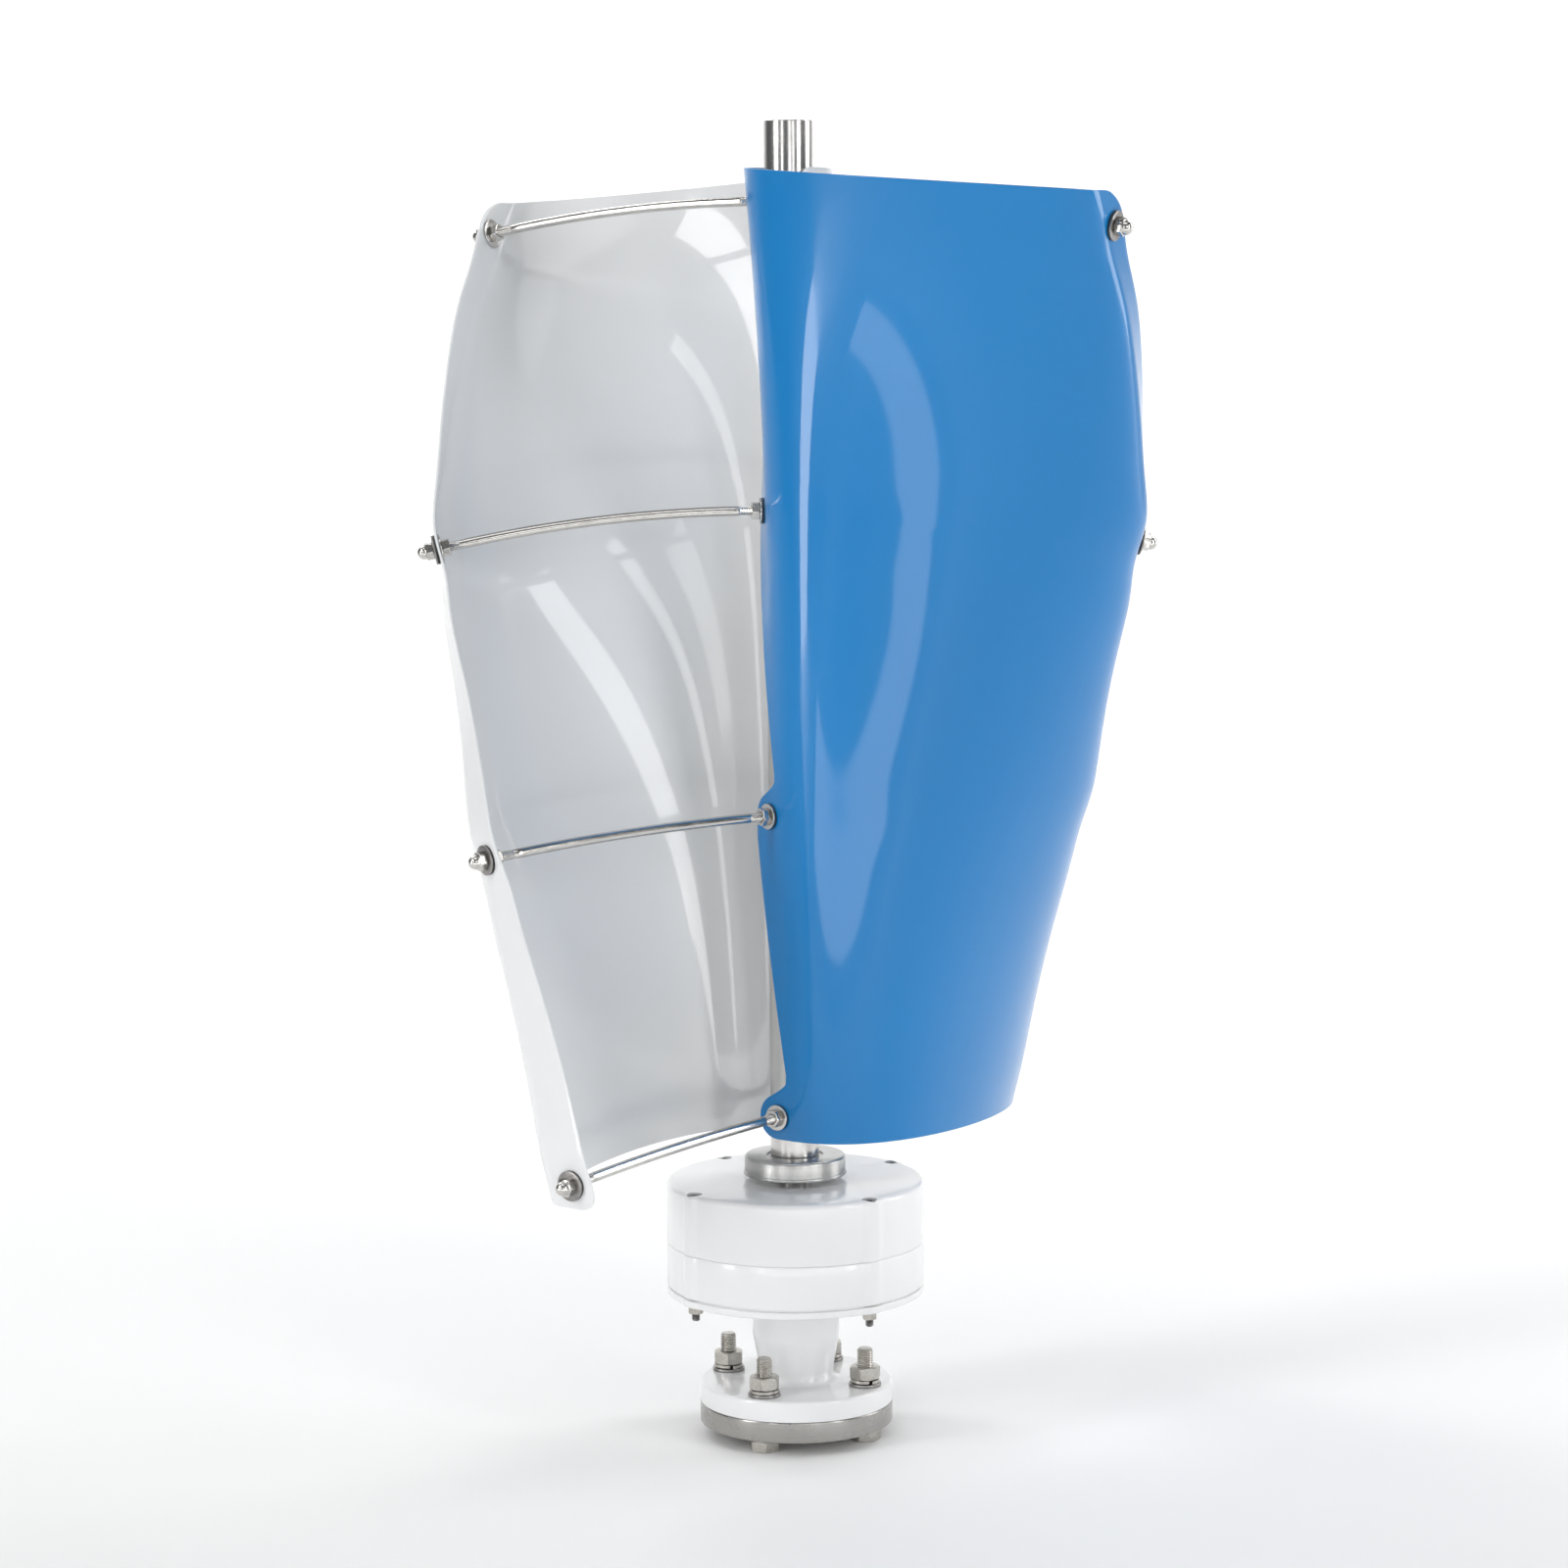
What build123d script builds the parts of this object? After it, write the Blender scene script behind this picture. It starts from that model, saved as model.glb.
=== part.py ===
from build123d import *
from math import atan, cos, exp, radians, sin, tan
import os

# Helical two-blade wind rotor on a direct-drive generator. Millimetres and degrees.
# The origin is the centre of the mast flange's underside and +Z is the rotor's axis.

# ---- mast flange joint ----
mast_flange_diameter = 120.0
mast_flange_thickness = 13.0
mast_bore = 48.8
mast_flange_chamfer = 0.8
flange_bolt_circle = 94.0
flange_bolt_count = 4
flange_bolt_start = 65.0
flange_bolt_diameter = 10.0
flange_bolt_clearance = 0.5
flange_nut_width = 17.0
flange_nut_height = 8.0
flange_head_height = 6.4
flange_washer_diameter = 20.0
flange_washer_thickness = 2.0
head_washer_diameter = 18.0
head_washer_thickness = 2.0
spring_washer_diameter = 18.0
spring_washer_thickness = 2.5
spring_washer_gap = 2.0
flange_bolt_tail = 11.2
flange_bolt_chamfer = 1.0

# ---- base casting: bolted flange, neck and lower cover in one piece ----
base_flange_thickness = 13.0
base_flange_fillet = 2.0
neck_upper_radius = 27.0
neck_lower_radius = 23.0
neck_taper_top = 54.0
neck_taper_bottom = 33.0
neck_foot_fillet = 5.0
neck_bore_radius = 19.0
bearing_lip_depth = 6.5
cover_bottom = 82.5
cover_thickness = 4.5

# ---- generator housing ----
housing_diameter = 160.0
housing_top = 153.0
housing_seam = 115.0
housing_wall = 11.5
roof_thickness = 4.0
lower_groove_height = 1.2
lower_groove_depth = 1.5
seam_chamfer = 0.6
roof_fillet = 3.0
spigot_thickness = 3.4
spigot_clearance = 0.1
boss_radius = 5.5
boss_inset = 4.0
boss_count = 4
boss_start = 36.0
housing_bolt_diameter = 5.0
housing_bolt_clearance = 0.25
housing_head_diameter = 8.5
housing_head_height = 5.0
housing_head_sink = 1.0
housing_counterbore_clearance = 0.5
housing_nut_width = 8.0
housing_nut_height = 4.0
housing_bolt_tail = 4.5
housing_bolt_chamfer = 0.5
housing_socket_width = 4.0

# ---- bearings and generator shaft ----
bearing_bore_radius = 10.0
bearing_outer_radius = 21.0
bearing_width = 12.0
bearing_ring_wall = 3.2
bearing_ball_radius = 2.1
bearing_ball_count = 9
bearing_ball_gap = 0.3
bearing_boss_wall = 5.0
bearing_lip_reach = 6.0
lower_bearing_lift = 10.0
running_gap = 0.3
shaft_shoulder_radius = 13.0
shaft_shoulder_height = 1.0
circlip_thickness = 1.2
circlip_reach = 2.5

# ---- magnet plates, stator and grommet ----
plate_thickness = 4.5
plate_rim_gap = 2.0
magnet_radius = 11.0
magnet_thickness = 4.0
magnet_count = 12
magnet_rim_margin = 3.5
air_gap = 1.2
stator_thickness = 5.6
stator_hole_radius = 34.0
coil_outer_radius = 14.5
coil_inner_radius = 6.0
coil_count = 9
wire_hole_radius = 3.5
wire_hole_lift = 6.0
grommet_wall = 1.2
grommet_flange = 1.6
grommet_depth = 8.0

# ---- hub and rotor shaft ----
hub_radius = 32.0
hub_height = 12.0
hub_gap = 3.5
hub_seat_depth = 8.0
hub_edge_fillet = 1.5
set_screw_diameter = 6.0
set_screw_length = 14.0
set_screw_angles = (45.0, 135.0)
rotor_shaft_radius = 15.0
rotor_shaft_wall = 3.0
shaft_above_rods = 48.0
shaft_rim_chamfer = 0.6
core_height = 60.0
plug_thickness = 4.0

# ---- tie rods, four levels of two ----
rod_above_hub = 25.5
rod_pitch = 187.0
rod_levels = (0, 1, 2, 3)
rod_end_slopes = (10.0, 12.0, 6.0, 4.0)
rod_diameter = 6.0
rod_straight_lead = 1.9
rod_straight_end = 10.0

# ---- blades: level 0 is the top pair of rods, level 3 the bottom pair ----
top_angle = -29.0
twist_per_bay = 39.0
twist_easing = 3.9
blade_radius = 214.5
blade_thickness = 1.5
blade_shaft_gap = 0.3
inner_handle = 102.0
tip_handle = 60.0
flat_reach = 9.5
blade_top_margin = 20.0
blade_bottom_margin = 14.0
inner_ear = 14.0
inner_waist = 3.0
outer_ear = 15.0
corner_radius = 13.0
lean_reach = 26.0
bay_pinch = (2.0, 5.0, 2.5)
handle_share = 1.33
bay_sections = (0.0, 0.09, 0.3, 0.5, 0.7, 0.91)

# ---- rod fasteners ----
rod_nut_width = 10.0
rod_nut_height = 5.0
cap_nut_height = 10.0
cap_dome_radius = 4.4
cap_bore_depth = 6.5
cap_bore_clearance = 0.5
steel_washer_diameter = 18.0
inner_washer_diameter = 16.0
steel_washer_thickness = 1.0
rubber_washer_thickness = 1.3
washer_sheet_gap = 0.4

# ---- worked out from the sizes above ----
mast_flange_radius = mast_flange_diameter / 2
base_flange_top = mast_flange_thickness + base_flange_thickness
housing_radius = housing_diameter / 2
cover_top = cover_bottom + cover_thickness
wall_inner = housing_radius - housing_wall
boss_circle_radius = housing_radius - boss_inset
neck_bore_top = cover_bottom - bearing_lip_depth
wire_hole_height = cover_top + wire_hole_lift
lower_bearing_bottom = cover_top + lower_bearing_lift
lower_bearing_top = lower_bearing_bottom + bearing_width
bearing_boss_radius = bearing_outer_radius + bearing_boss_wall
lip_radius = bearing_outer_radius - bearing_lip_reach
upper_bearing_top = housing_top - roof_thickness
upper_bearing_bottom = upper_bearing_top - bearing_width
lower_plate_bottom = lower_bearing_top + shaft_shoulder_height
lower_magnet_bottom = lower_plate_bottom + plate_thickness
stator_bottom = lower_magnet_bottom + magnet_thickness + air_gap
stator_top = stator_bottom + stator_thickness
upper_magnet_bottom = stator_top + air_gap
upper_plate_bottom = upper_magnet_bottom + magnet_thickness
upper_plate_top = upper_plate_bottom + plate_thickness
spigot_radius = wall_inner + spigot_thickness
magnet_circle_radius = wall_inner - plate_rim_gap - magnet_rim_margin - magnet_radius
hub_bottom = housing_top + hub_gap
hub_top = hub_bottom + hub_height
rotor_shaft_bottom = hub_top - hub_seat_depth
rotor_shaft_bore = rotor_shaft_radius - rotor_shaft_wall
core_top = rotor_shaft_bottom + core_height
rod_radius = rod_diameter / 2
top_rod_height = hub_top + rod_above_hub + rod_pitch * rod_levels[-1]
rotor_shaft_top = top_rod_height + shaft_above_rods
blade_inner = rotor_shaft_radius + blade_shaft_gap + blade_thickness / 2
shaft_nut_seat = blade_inner + blade_thickness / 2 + rubber_washer_thickness + steel_washer_thickness
rod_straight_start = shaft_nut_seat + rod_nut_height + rod_straight_lead
tip_washer_seat = blade_thickness / 2 + rubber_washer_thickness
tip_cap_seat = tip_washer_seat + steel_washer_thickness
rod_tail = tip_cap_seat + cap_bore_depth - cap_bore_clearance


def rod_height(level):
    return top_rod_height - rod_pitch * level


def blade_angle(level):
    return top_angle + twist_per_bay * level - twist_easing * level**2


def between_levels(values, level):
    # straight-line value between the rod levels, held constant past the ends
    place = min(max(level, rod_levels[0]), rod_levels[-1])
    below = min(int(place), rod_levels[-1] - 1)
    share = place - below
    return values[below] * (1 - share) + values[below + 1] * share


def rod_drop(slope):
    # how far a rod has come down where it goes through its blade
    run = blade_radius - rod_straight_end - rod_straight_start
    return run * tan(radians(slope / 2)) + rod_straight_end * tan(radians(slope))


rod_drops = [rod_drop(slope) for slope in rod_end_slopes]


def rod_sides(level):
    # direction of the blue blade's rod, then of the white blade's rod
    return (blade_angle(level), blade_angle(level) + 180)


def shaft_plane(level, direction):
    # at the axis, Z pointing out along the rod
    out = (cos(radians(direction)), sin(radians(direction)), 0)
    return Plane(origin=(0, 0, rod_height(level)), x_dir=(-out[1], out[0], 0), z_dir=out)


def tip_plane(level, direction):
    # at the middle of the blade's sheet, Z pointing out along the rod's end
    out = (cos(radians(direction)), sin(radians(direction)))
    slope = radians(rod_end_slopes[level])
    centre = (blade_radius * out[0], blade_radius * out[1], rod_height(level) - rod_drops[level])
    along = (cos(slope) * out[0], cos(slope) * out[1], -sin(slope))
    return Plane(origin=centre, x_dir=(-out[1], out[0], 0), z_dir=along)


def tip_radius(level):
    # the sheet leans to stay square to each drooping rod end and is drawn in between the rods
    total = blade_radius
    if rod_levels[0] <= level < rod_levels[-1]:
        total -= bay_pinch[int(level)] * sin(radians(180 * level)) ** 2
    for rod_level in rod_levels:
        rise = rod_pitch * (rod_level - level)
        total += tan(radians(rod_end_slopes[rod_level])) * rise * exp(-((rise / lean_reach) ** 2))
    return total


def inner_margin(level):
    # the free edge beyond the shaft holes: full ears at the rods, a waist between them
    return inner_waist + (inner_ear - inner_waist) * cos(radians(180 * level)) ** 2


def section_plane(level, direction):
    # a plane through the axis that tips down towards the blade's rod end
    fall = between_levels(rod_drops, level) / (blade_radius + blade_inner)
    tilt = atan(fall)
    out = (cos(radians(direction)), sin(radians(direction)))
    height = rod_height(level) - fall * blade_inner
    x_dir = (cos(tilt) * out[0], cos(tilt) * out[1], -sin(tilt))
    z_dir = (sin(tilt) * out[0], sin(tilt) * out[1], cos(tilt))
    return Plane(origin=(0, 0, height), x_dir=x_dir, z_dir=z_dir), 1 / cos(tilt)


def sheet_side(tip, offset, inner_edge, outer_edge, stretch):
    # one face of the sheet: flat under the washers at both rods, a cubic curve between
    start, end = (-blade_inner + offset) * stretch, (tip - offset) * stretch
    shorter = offset * handle_share
    Line((start, inner_edge), (start, -flat_reach))
    Bezier(
        (start, -flat_reach),
        (start, shorter - inner_handle),
        (end, shorter - tip_handle),
        (end, -flat_reach),
    )
    Line((end, -flat_reach), (end, outer_edge))


def sheet_section(level, direction):
    plane, stretch = section_plane(level, direction)
    tip, half, inner_edge = tip_radius(level), blade_thickness / 2, inner_margin(level)
    with BuildSketch(plane) as section:
        with BuildLine():
            sheet_side(tip, half, inner_edge, outer_ear, stretch)
            sheet_side(tip, -half, inner_edge, outer_ear, stretch)
            for end, edge in ((-blade_inner, inner_edge), (tip, outer_ear)):
                Line(((end - half) * stretch, edge), ((end + half) * stretch, edge))
        make_face()
    return section.sketch


blade_top_level = -blade_top_margin / rod_pitch
blade_bottom_level = rod_levels[-1] + blade_bottom_margin / rod_pitch
blade_stations = [blade_top_level]
for rod_level in rod_levels[:-1]:
    blade_stations += [rod_level + share for share in bay_sections]
blade_stations += [rod_levels[-1], blade_bottom_level]


def round_corner(level, direction, across, edge, drop, upward):
    # trims one square corner of the sheet to a quarter circle, cutting along the rod's direction
    out = (cos(radians(direction)), sin(radians(direction)))
    along = (-out[1], out[0])
    centre_y = edge - corner_radius
    centre = (
        across * out[0] + centre_y * along[0],
        across * out[1] + centre_y * along[1],
        rod_height(level) - drop - upward * corner_radius,
    )
    reach = 3 * corner_radius
    facing = Plane(origin=centre, x_dir=(along[0], along[1], 0), z_dir=(out[0], out[1], 0))
    with BuildSketch(facing) as corner:
        with Locations((reach / 2, upward * reach / 2)):
            Rectangle(reach, reach)
        Circle(corner_radius, mode=Mode.SUBTRACT)
    extrude(corner.sketch, amount=2 * corner_radius, both=True, mode=Mode.SUBTRACT)


def build_blade(side):
    # side 0 is the blue blade, side 1 the white one, half a turn round
    loft([sheet_section(level, rod_sides(level)[side]) for level in blade_stations])
    for level, upward in ((blade_top_level, 1), (blade_bottom_level, -1)):
        direction, drop = rod_sides(level)[side], between_levels(rod_drops, level)
        round_corner(level, direction, -blade_inner, inner_margin(level), 0, upward)
        round_corner(level, direction, tip_radius(level), outer_ear, drop, upward)
    for level in rod_levels:
        own, other = rod_sides(level)[side], rod_sides(level)[1 - side]
        with Locations(tip_plane(level, own)):
            Cylinder(rod_radius, 6 * blade_thickness, mode=Mode.SUBTRACT)
        with Locations(shaft_plane(level, other).offset(blade_inner)):
            Cylinder(rod_radius, 6 * blade_thickness, mode=Mode.SUBTRACT)


def finish(piece, label):
    piece.part.label = label
    export_step(piece.part, f"parts/{label}.step")


os.makedirs("parts", exist_ok=True)

# ---- mast flange joint ----

with BuildPart() as mast_flange:
    with BuildSketch():
        Circle(mast_flange_radius)
        Circle(mast_bore / 2, mode=Mode.SUBTRACT)
        with PolarLocations(flange_bolt_circle / 2, flange_bolt_count, flange_bolt_start):
            Circle(flange_bolt_diameter / 2 + flange_bolt_clearance, mode=Mode.SUBTRACT)
    extrude(amount=mast_flange_thickness)
    outer_rim = mast_flange.edges().filter_by(GeomType.CIRCLE).group_by(SortBy.RADIUS)[-1]
    chamfer(outer_rim, mast_flange_chamfer)
finish(mast_flange, "mast_flange")

with BuildPart() as base_casting:
    with BuildSketch(Plane.XZ):
        with BuildLine():
            Polyline(
                (neck_bore_radius, mast_flange_thickness),
                (mast_flange_radius, mast_flange_thickness),
                (mast_flange_radius, base_flange_top),
                (neck_lower_radius, base_flange_top),
                (neck_lower_radius, neck_taper_bottom),
                (neck_upper_radius, neck_taper_top),
                (neck_upper_radius, cover_bottom),
                (housing_radius, cover_bottom),
                (housing_radius, cover_top),
                (bearing_boss_radius, cover_top),
                (bearing_boss_radius, lower_bearing_top),
                (bearing_outer_radius, lower_bearing_top),
                (bearing_outer_radius, lower_bearing_bottom),
                (lip_radius, lower_bearing_bottom),
                (lip_radius, neck_bore_top),
                (neck_bore_radius, neck_bore_top),
                close=True,
            )
        make_face()
    revolve(axis=Axis.Z)
    foot = base_casting.edges().filter_by(GeomType.CIRCLE).filter_by_position(
        Axis.Z, base_flange_top - 0.1, base_flange_top + 0.1
    )
    fillet(foot.sort_by(SortBy.RADIUS)[0], neck_foot_fillet)
    rim = base_casting.edges().filter_by(GeomType.CIRCLE).filter_by_position(
        Axis.Z, mast_flange_thickness, base_flange_top
    )
    fillet(rim.group_by(SortBy.RADIUS)[-1].sort_by(Axis.Z)[-1], base_flange_fillet)
    with BuildSketch(Plane.XY.offset(cover_bottom)):
        with PolarLocations(boss_circle_radius, boss_count, boss_start):
            Circle(boss_radius)
    extrude(amount=cover_thickness)
    with PolarLocations(boss_circle_radius, boss_count, boss_start):
        Cylinder(
            housing_bolt_diameter / 2 + housing_bolt_clearance,
            3 * housing_top,
            mode=Mode.SUBTRACT,
        )
    with PolarLocations(flange_bolt_circle / 2, flange_bolt_count, flange_bolt_start):
        Cylinder(
            flange_bolt_diameter / 2 + flange_bolt_clearance,
            2 * base_flange_top,
            mode=Mode.SUBTRACT,
        )
    with Locations(Plane(origin=(0, 0, wire_hole_height), z_dir=(0, 1, 0))):
        Cylinder(
            wire_hole_radius,
            2 * bearing_boss_radius,
            align=(Align.CENTER, Align.CENTER, Align.MIN),
            mode=Mode.SUBTRACT,
        )
finish(base_casting, "base_casting")

with BuildPart() as wire_grommet:
    with BuildSketch(Plane(origin=(0, bearing_boss_radius, wire_hole_height), z_dir=(0, 1, 0))):
        Circle(wire_hole_radius)
        Circle(wire_hole_radius - grommet_wall, mode=Mode.SUBTRACT)
    extrude(amount=-grommet_depth)
    with BuildSketch(Plane(origin=(0, bearing_boss_radius, wire_hole_height), z_dir=(0, 1, 0))):
        Circle(wire_hole_radius + grommet_flange)
        Circle(wire_hole_radius - grommet_wall, mode=Mode.SUBTRACT)
    extrude(amount=grommet_flange)
finish(wire_grommet, "wire_grommet")

# ---- generator housing ----


def bolt_holes(height):
    with PolarLocations(boss_circle_radius, boss_count, boss_start):
        Cylinder(housing_bolt_diameter / 2 + housing_bolt_clearance, height, mode=Mode.SUBTRACT)


with BuildPart() as lower_shell:
    with BuildSketch(Plane.XZ):
        with BuildLine():
            Polyline(
                (wall_inner, cover_top),
                (housing_radius - lower_groove_depth, cover_top),
                (housing_radius - lower_groove_depth, cover_top + lower_groove_height),
                (housing_radius, cover_top + lower_groove_height),
                (housing_radius, housing_seam - seam_chamfer),
                (housing_radius - seam_chamfer, housing_seam),
                (spigot_radius, housing_seam),
                (spigot_radius, stator_bottom),
                (wall_inner, stator_bottom),
                close=True,
            )
        make_face()
    revolve(axis=Axis.Z)
    with BuildSketch(Plane.XY.offset(cover_top + lower_groove_height)):
        with PolarLocations(boss_circle_radius, boss_count, boss_start):
            Circle(boss_radius)
        Circle(spigot_radius, mode=Mode.SUBTRACT)
    extrude(amount=housing_seam - cover_top - lower_groove_height)
    bolt_holes(3 * housing_top)
finish(lower_shell, "lower_shell")

with BuildPart() as upper_shell:
    with BuildSketch(Plane.XZ):
        with BuildLine():
            Polyline(
                (spigot_radius + spigot_clearance, housing_seam),
                (housing_radius - seam_chamfer, housing_seam),
                (housing_radius, housing_seam + seam_chamfer),
                (housing_radius, housing_top),
                (lip_radius, housing_top),
                (lip_radius, upper_bearing_top),
                (bearing_outer_radius, upper_bearing_top),
                (bearing_outer_radius, upper_bearing_bottom),
                (bearing_boss_radius, upper_bearing_bottom),
                (bearing_boss_radius, upper_bearing_top),
                (wall_inner, upper_bearing_top),
                (wall_inner, stator_top),
                (spigot_radius + spigot_clearance, stator_top),
                close=True,
            )
        make_face()
    revolve(axis=Axis.Z)
    with BuildSketch(Plane.XY.offset(housing_seam + seam_chamfer)):
        with PolarLocations(boss_circle_radius, boss_count, boss_start):
            Circle(boss_radius)
        Circle(spigot_radius + spigot_clearance, mode=Mode.SUBTRACT)
    extrude(amount=housing_top - housing_seam - seam_chamfer)
    rim = upper_shell.faces().sort_by(Axis.Z)[-1].outer_wire().edges()
    fillet(rim, roof_fillet)
    bolt_holes(3 * housing_top)
    with Locations(Plane.XY.offset(housing_top - housing_head_height - housing_head_sink)):
        with PolarLocations(boss_circle_radius, boss_count, boss_start):
            Cylinder(
                housing_head_diameter / 2 + housing_counterbore_clearance,
                2 * roof_fillet + housing_head_height,
                align=(Align.CENTER, Align.CENTER, Align.MIN),
                mode=Mode.SUBTRACT,
            )
finish(upper_shell, "upper_shell")

head_bottom = housing_top - housing_head_height - housing_head_sink
nut_bottom = cover_bottom - housing_nut_height

with BuildPart() as housing_bolts:
    with BuildSketch(Plane.XY.offset(nut_bottom - housing_bolt_tail)):
        with PolarLocations(boss_circle_radius, boss_count, boss_start):
            Circle(housing_bolt_diameter / 2)
    extrude(amount=head_bottom - nut_bottom + housing_bolt_tail)
    with BuildSketch(Plane.XY.offset(head_bottom)):
        with PolarLocations(boss_circle_radius, boss_count, boss_start):
            Circle(housing_head_diameter / 2)
    extrude(amount=housing_head_height)
    chamfer(housing_bolts.faces().group_by(Axis.Z)[-1].edges(), housing_bolt_chamfer)
    chamfer(housing_bolts.faces().group_by(Axis.Z)[0].edges(), housing_bolt_chamfer)
    with BuildSketch(Plane.XY.offset(head_bottom + housing_head_height / 2)):
        with PolarLocations(boss_circle_radius, boss_count, boss_start):
            RegularPolygon(housing_socket_width / 2, 6, major_radius=False)
    extrude(amount=housing_head_height, mode=Mode.SUBTRACT)
finish(housing_bolts, "housing_bolts")


def hex_nut(width, height, bore_radius, chamfered_top=True):
    # across-flats width; the corners are turned down at 30 degrees
    corner = width / 2 / cos(radians(30))
    cut = (corner - width / 2) * tan(radians(30))
    with BuildPart() as nut:
        with BuildSketch():
            RegularPolygon(width / 2, 6, major_radius=False)
            if bore_radius > 0:
                Circle(bore_radius, mode=Mode.SUBTRACT)
        extrude(amount=height)
        with BuildSketch(Plane.XZ):
            with BuildLine():
                Polyline(
                    (0, 0),
                    (width / 2, 0),
                    (corner, cut),
                    (corner, height - cut if chamfered_top else height),
                    (width / 2 if chamfered_top else corner, height),
                    (0, height),
                    close=True,
                )
            make_face()
        revolve(axis=Axis.Z, mode=Mode.INTERSECT)
    return nut.part


housing_nut = hex_nut(housing_nut_width, housing_nut_height, housing_bolt_diameter / 2)
with BuildPart() as housing_nuts:
    with Locations(Plane.XY.offset(nut_bottom)):
        with PolarLocations(boss_circle_radius, boss_count, boss_start):
            add(housing_nut)
finish(housing_nuts, "housing_nuts")

# ---- flange bolts ----

bolt_head = hex_nut(flange_nut_width, flange_head_height, 0)
flange_nut = hex_nut(flange_nut_width, flange_nut_height, flange_bolt_diameter / 2)
flat_washer_top = base_flange_top + flange_washer_thickness
spring_washer_top = flat_washer_top + spring_washer_thickness
flange_bolt_top = spring_washer_top + flange_nut_height + flange_bolt_tail

with BuildPart() as flange_bolts:
    with Locations(Plane.XY.offset(-head_washer_thickness - flange_head_height)):
        with PolarLocations(flange_bolt_circle / 2, flange_bolt_count, flange_bolt_start):
            add(bolt_head)
    with BuildSketch(Plane.XY.offset(-head_washer_thickness)):
        with PolarLocations(flange_bolt_circle / 2, flange_bolt_count, flange_bolt_start):
            Circle(flange_bolt_diameter / 2)
    extrude(amount=flange_bolt_top + head_washer_thickness)
    chamfer(flange_bolts.faces().group_by(Axis.Z)[-1].edges(), flange_bolt_chamfer)
finish(flange_bolts, "flange_bolts")


def washer_ring(bottom, outer_radius, thickness):
    # one flat washer round each flange bolt
    with BuildSketch(Plane.XY.offset(bottom)) as ring:
        with PolarLocations(flange_bolt_circle / 2, flange_bolt_count, flange_bolt_start):
            Circle(outer_radius)
            Circle(flange_bolt_diameter / 2, mode=Mode.SUBTRACT)
    extrude(ring.sketch, amount=thickness)


with BuildPart() as head_washers:
    washer_ring(-head_washer_thickness, head_washer_diameter / 2, head_washer_thickness)
finish(head_washers, "head_washers")

with BuildPart() as flat_washers:
    washer_ring(base_flange_top, flange_washer_diameter / 2, flange_washer_thickness)
finish(flat_washers, "flat_washers")

with BuildPart() as spring_washers:
    washer_ring(flat_washer_top, spring_washer_diameter / 2, spring_washer_thickness)
    with BuildSketch(Plane.XY.offset(flat_washer_top)):
        with PolarLocations(flange_bolt_circle / 2, flange_bolt_count, flange_bolt_start):
            with Locations((spring_washer_diameter / 2, 0)):
                Rectangle(spring_washer_diameter, spring_washer_gap)
    extrude(amount=spring_washer_thickness, mode=Mode.SUBTRACT)
finish(spring_washers, "spring_washers")

with BuildPart() as flange_nuts:
    with Locations(Plane.XY.offset(spring_washer_top)):
        with PolarLocations(flange_bolt_circle / 2, flange_bolt_count, flange_bolt_start):
            add(flange_nut)
finish(flange_nuts, "flange_nuts")

# ---- bearings, generator shaft and its rings ----

bearing_bottoms = (lower_bearing_bottom, upper_bearing_bottom)
inner_ring_radius = bearing_bore_radius + bearing_ring_wall
outer_ring_radius = bearing_outer_radius - bearing_ring_wall
ball_circle = (inner_ring_radius + outer_ring_radius) / 2


def bearing_rings(inner_radius, outer_radius):
    # one ring at each bearing, with the ball groove cut in it
    for bottom in bearing_bottoms:
        with BuildSketch(Plane.XY.offset(bottom)) as ring:
            Circle(outer_radius)
            Circle(inner_radius, mode=Mode.SUBTRACT)
        extrude(ring.sketch, amount=bearing_width)
        with Locations((0, 0, bottom + bearing_width / 2)):
            Torus(ball_circle, bearing_ball_radius + bearing_ball_gap, mode=Mode.SUBTRACT)


with BuildPart() as bearing_outer_rings:
    bearing_rings(outer_ring_radius, bearing_outer_radius)
finish(bearing_outer_rings, "bearing_outer_rings")

with BuildPart() as bearing_inner_rings:
    bearing_rings(bearing_bore_radius, inner_ring_radius)
finish(bearing_inner_rings, "bearing_inner_rings")

with BuildPart() as bearing_balls:
    for bottom in bearing_bottoms:
        with Locations(Plane.XY.offset(bottom + bearing_width / 2)):
            with PolarLocations(ball_circle, bearing_ball_count):
                Sphere(bearing_ball_radius)
finish(bearing_balls, "bearing_balls")

circlip_bottom = lower_bearing_bottom - circlip_thickness
circlip_inner = bearing_bore_radius - circlip_thickness

with BuildPart() as generator_shaft:
    with BuildSketch(Plane.XZ):
        with BuildLine():
            Polyline(
                (0, circlip_bottom - circlip_reach),
                (bearing_bore_radius, circlip_bottom - circlip_reach),
                (bearing_bore_radius, circlip_bottom),
                (circlip_inner, circlip_bottom),
                (circlip_inner, lower_bearing_bottom),
                (bearing_bore_radius, lower_bearing_bottom),
                (bearing_bore_radius, lower_bearing_top),
                (shaft_shoulder_radius, lower_bearing_top),
                (shaft_shoulder_radius, lower_plate_bottom),
                (bearing_bore_radius, lower_plate_bottom),
                (bearing_bore_radius, core_top),
                (0, core_top),
                close=True,
            )
        make_face()
    revolve(axis=Axis.Z)
finish(generator_shaft, "generator_shaft")

with BuildPart() as shaft_circlip:
    with BuildSketch(Plane.XY.offset(circlip_bottom)):
        Circle(bearing_bore_radius + circlip_reach)
        Circle(circlip_inner, mode=Mode.SUBTRACT)
        with Locations((0, -bearing_bore_radius)):
            Rectangle(2 * circlip_reach, 4 * circlip_reach, mode=Mode.SUBTRACT)
    extrude(amount=circlip_thickness)
finish(shaft_circlip, "shaft_circlip")

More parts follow.
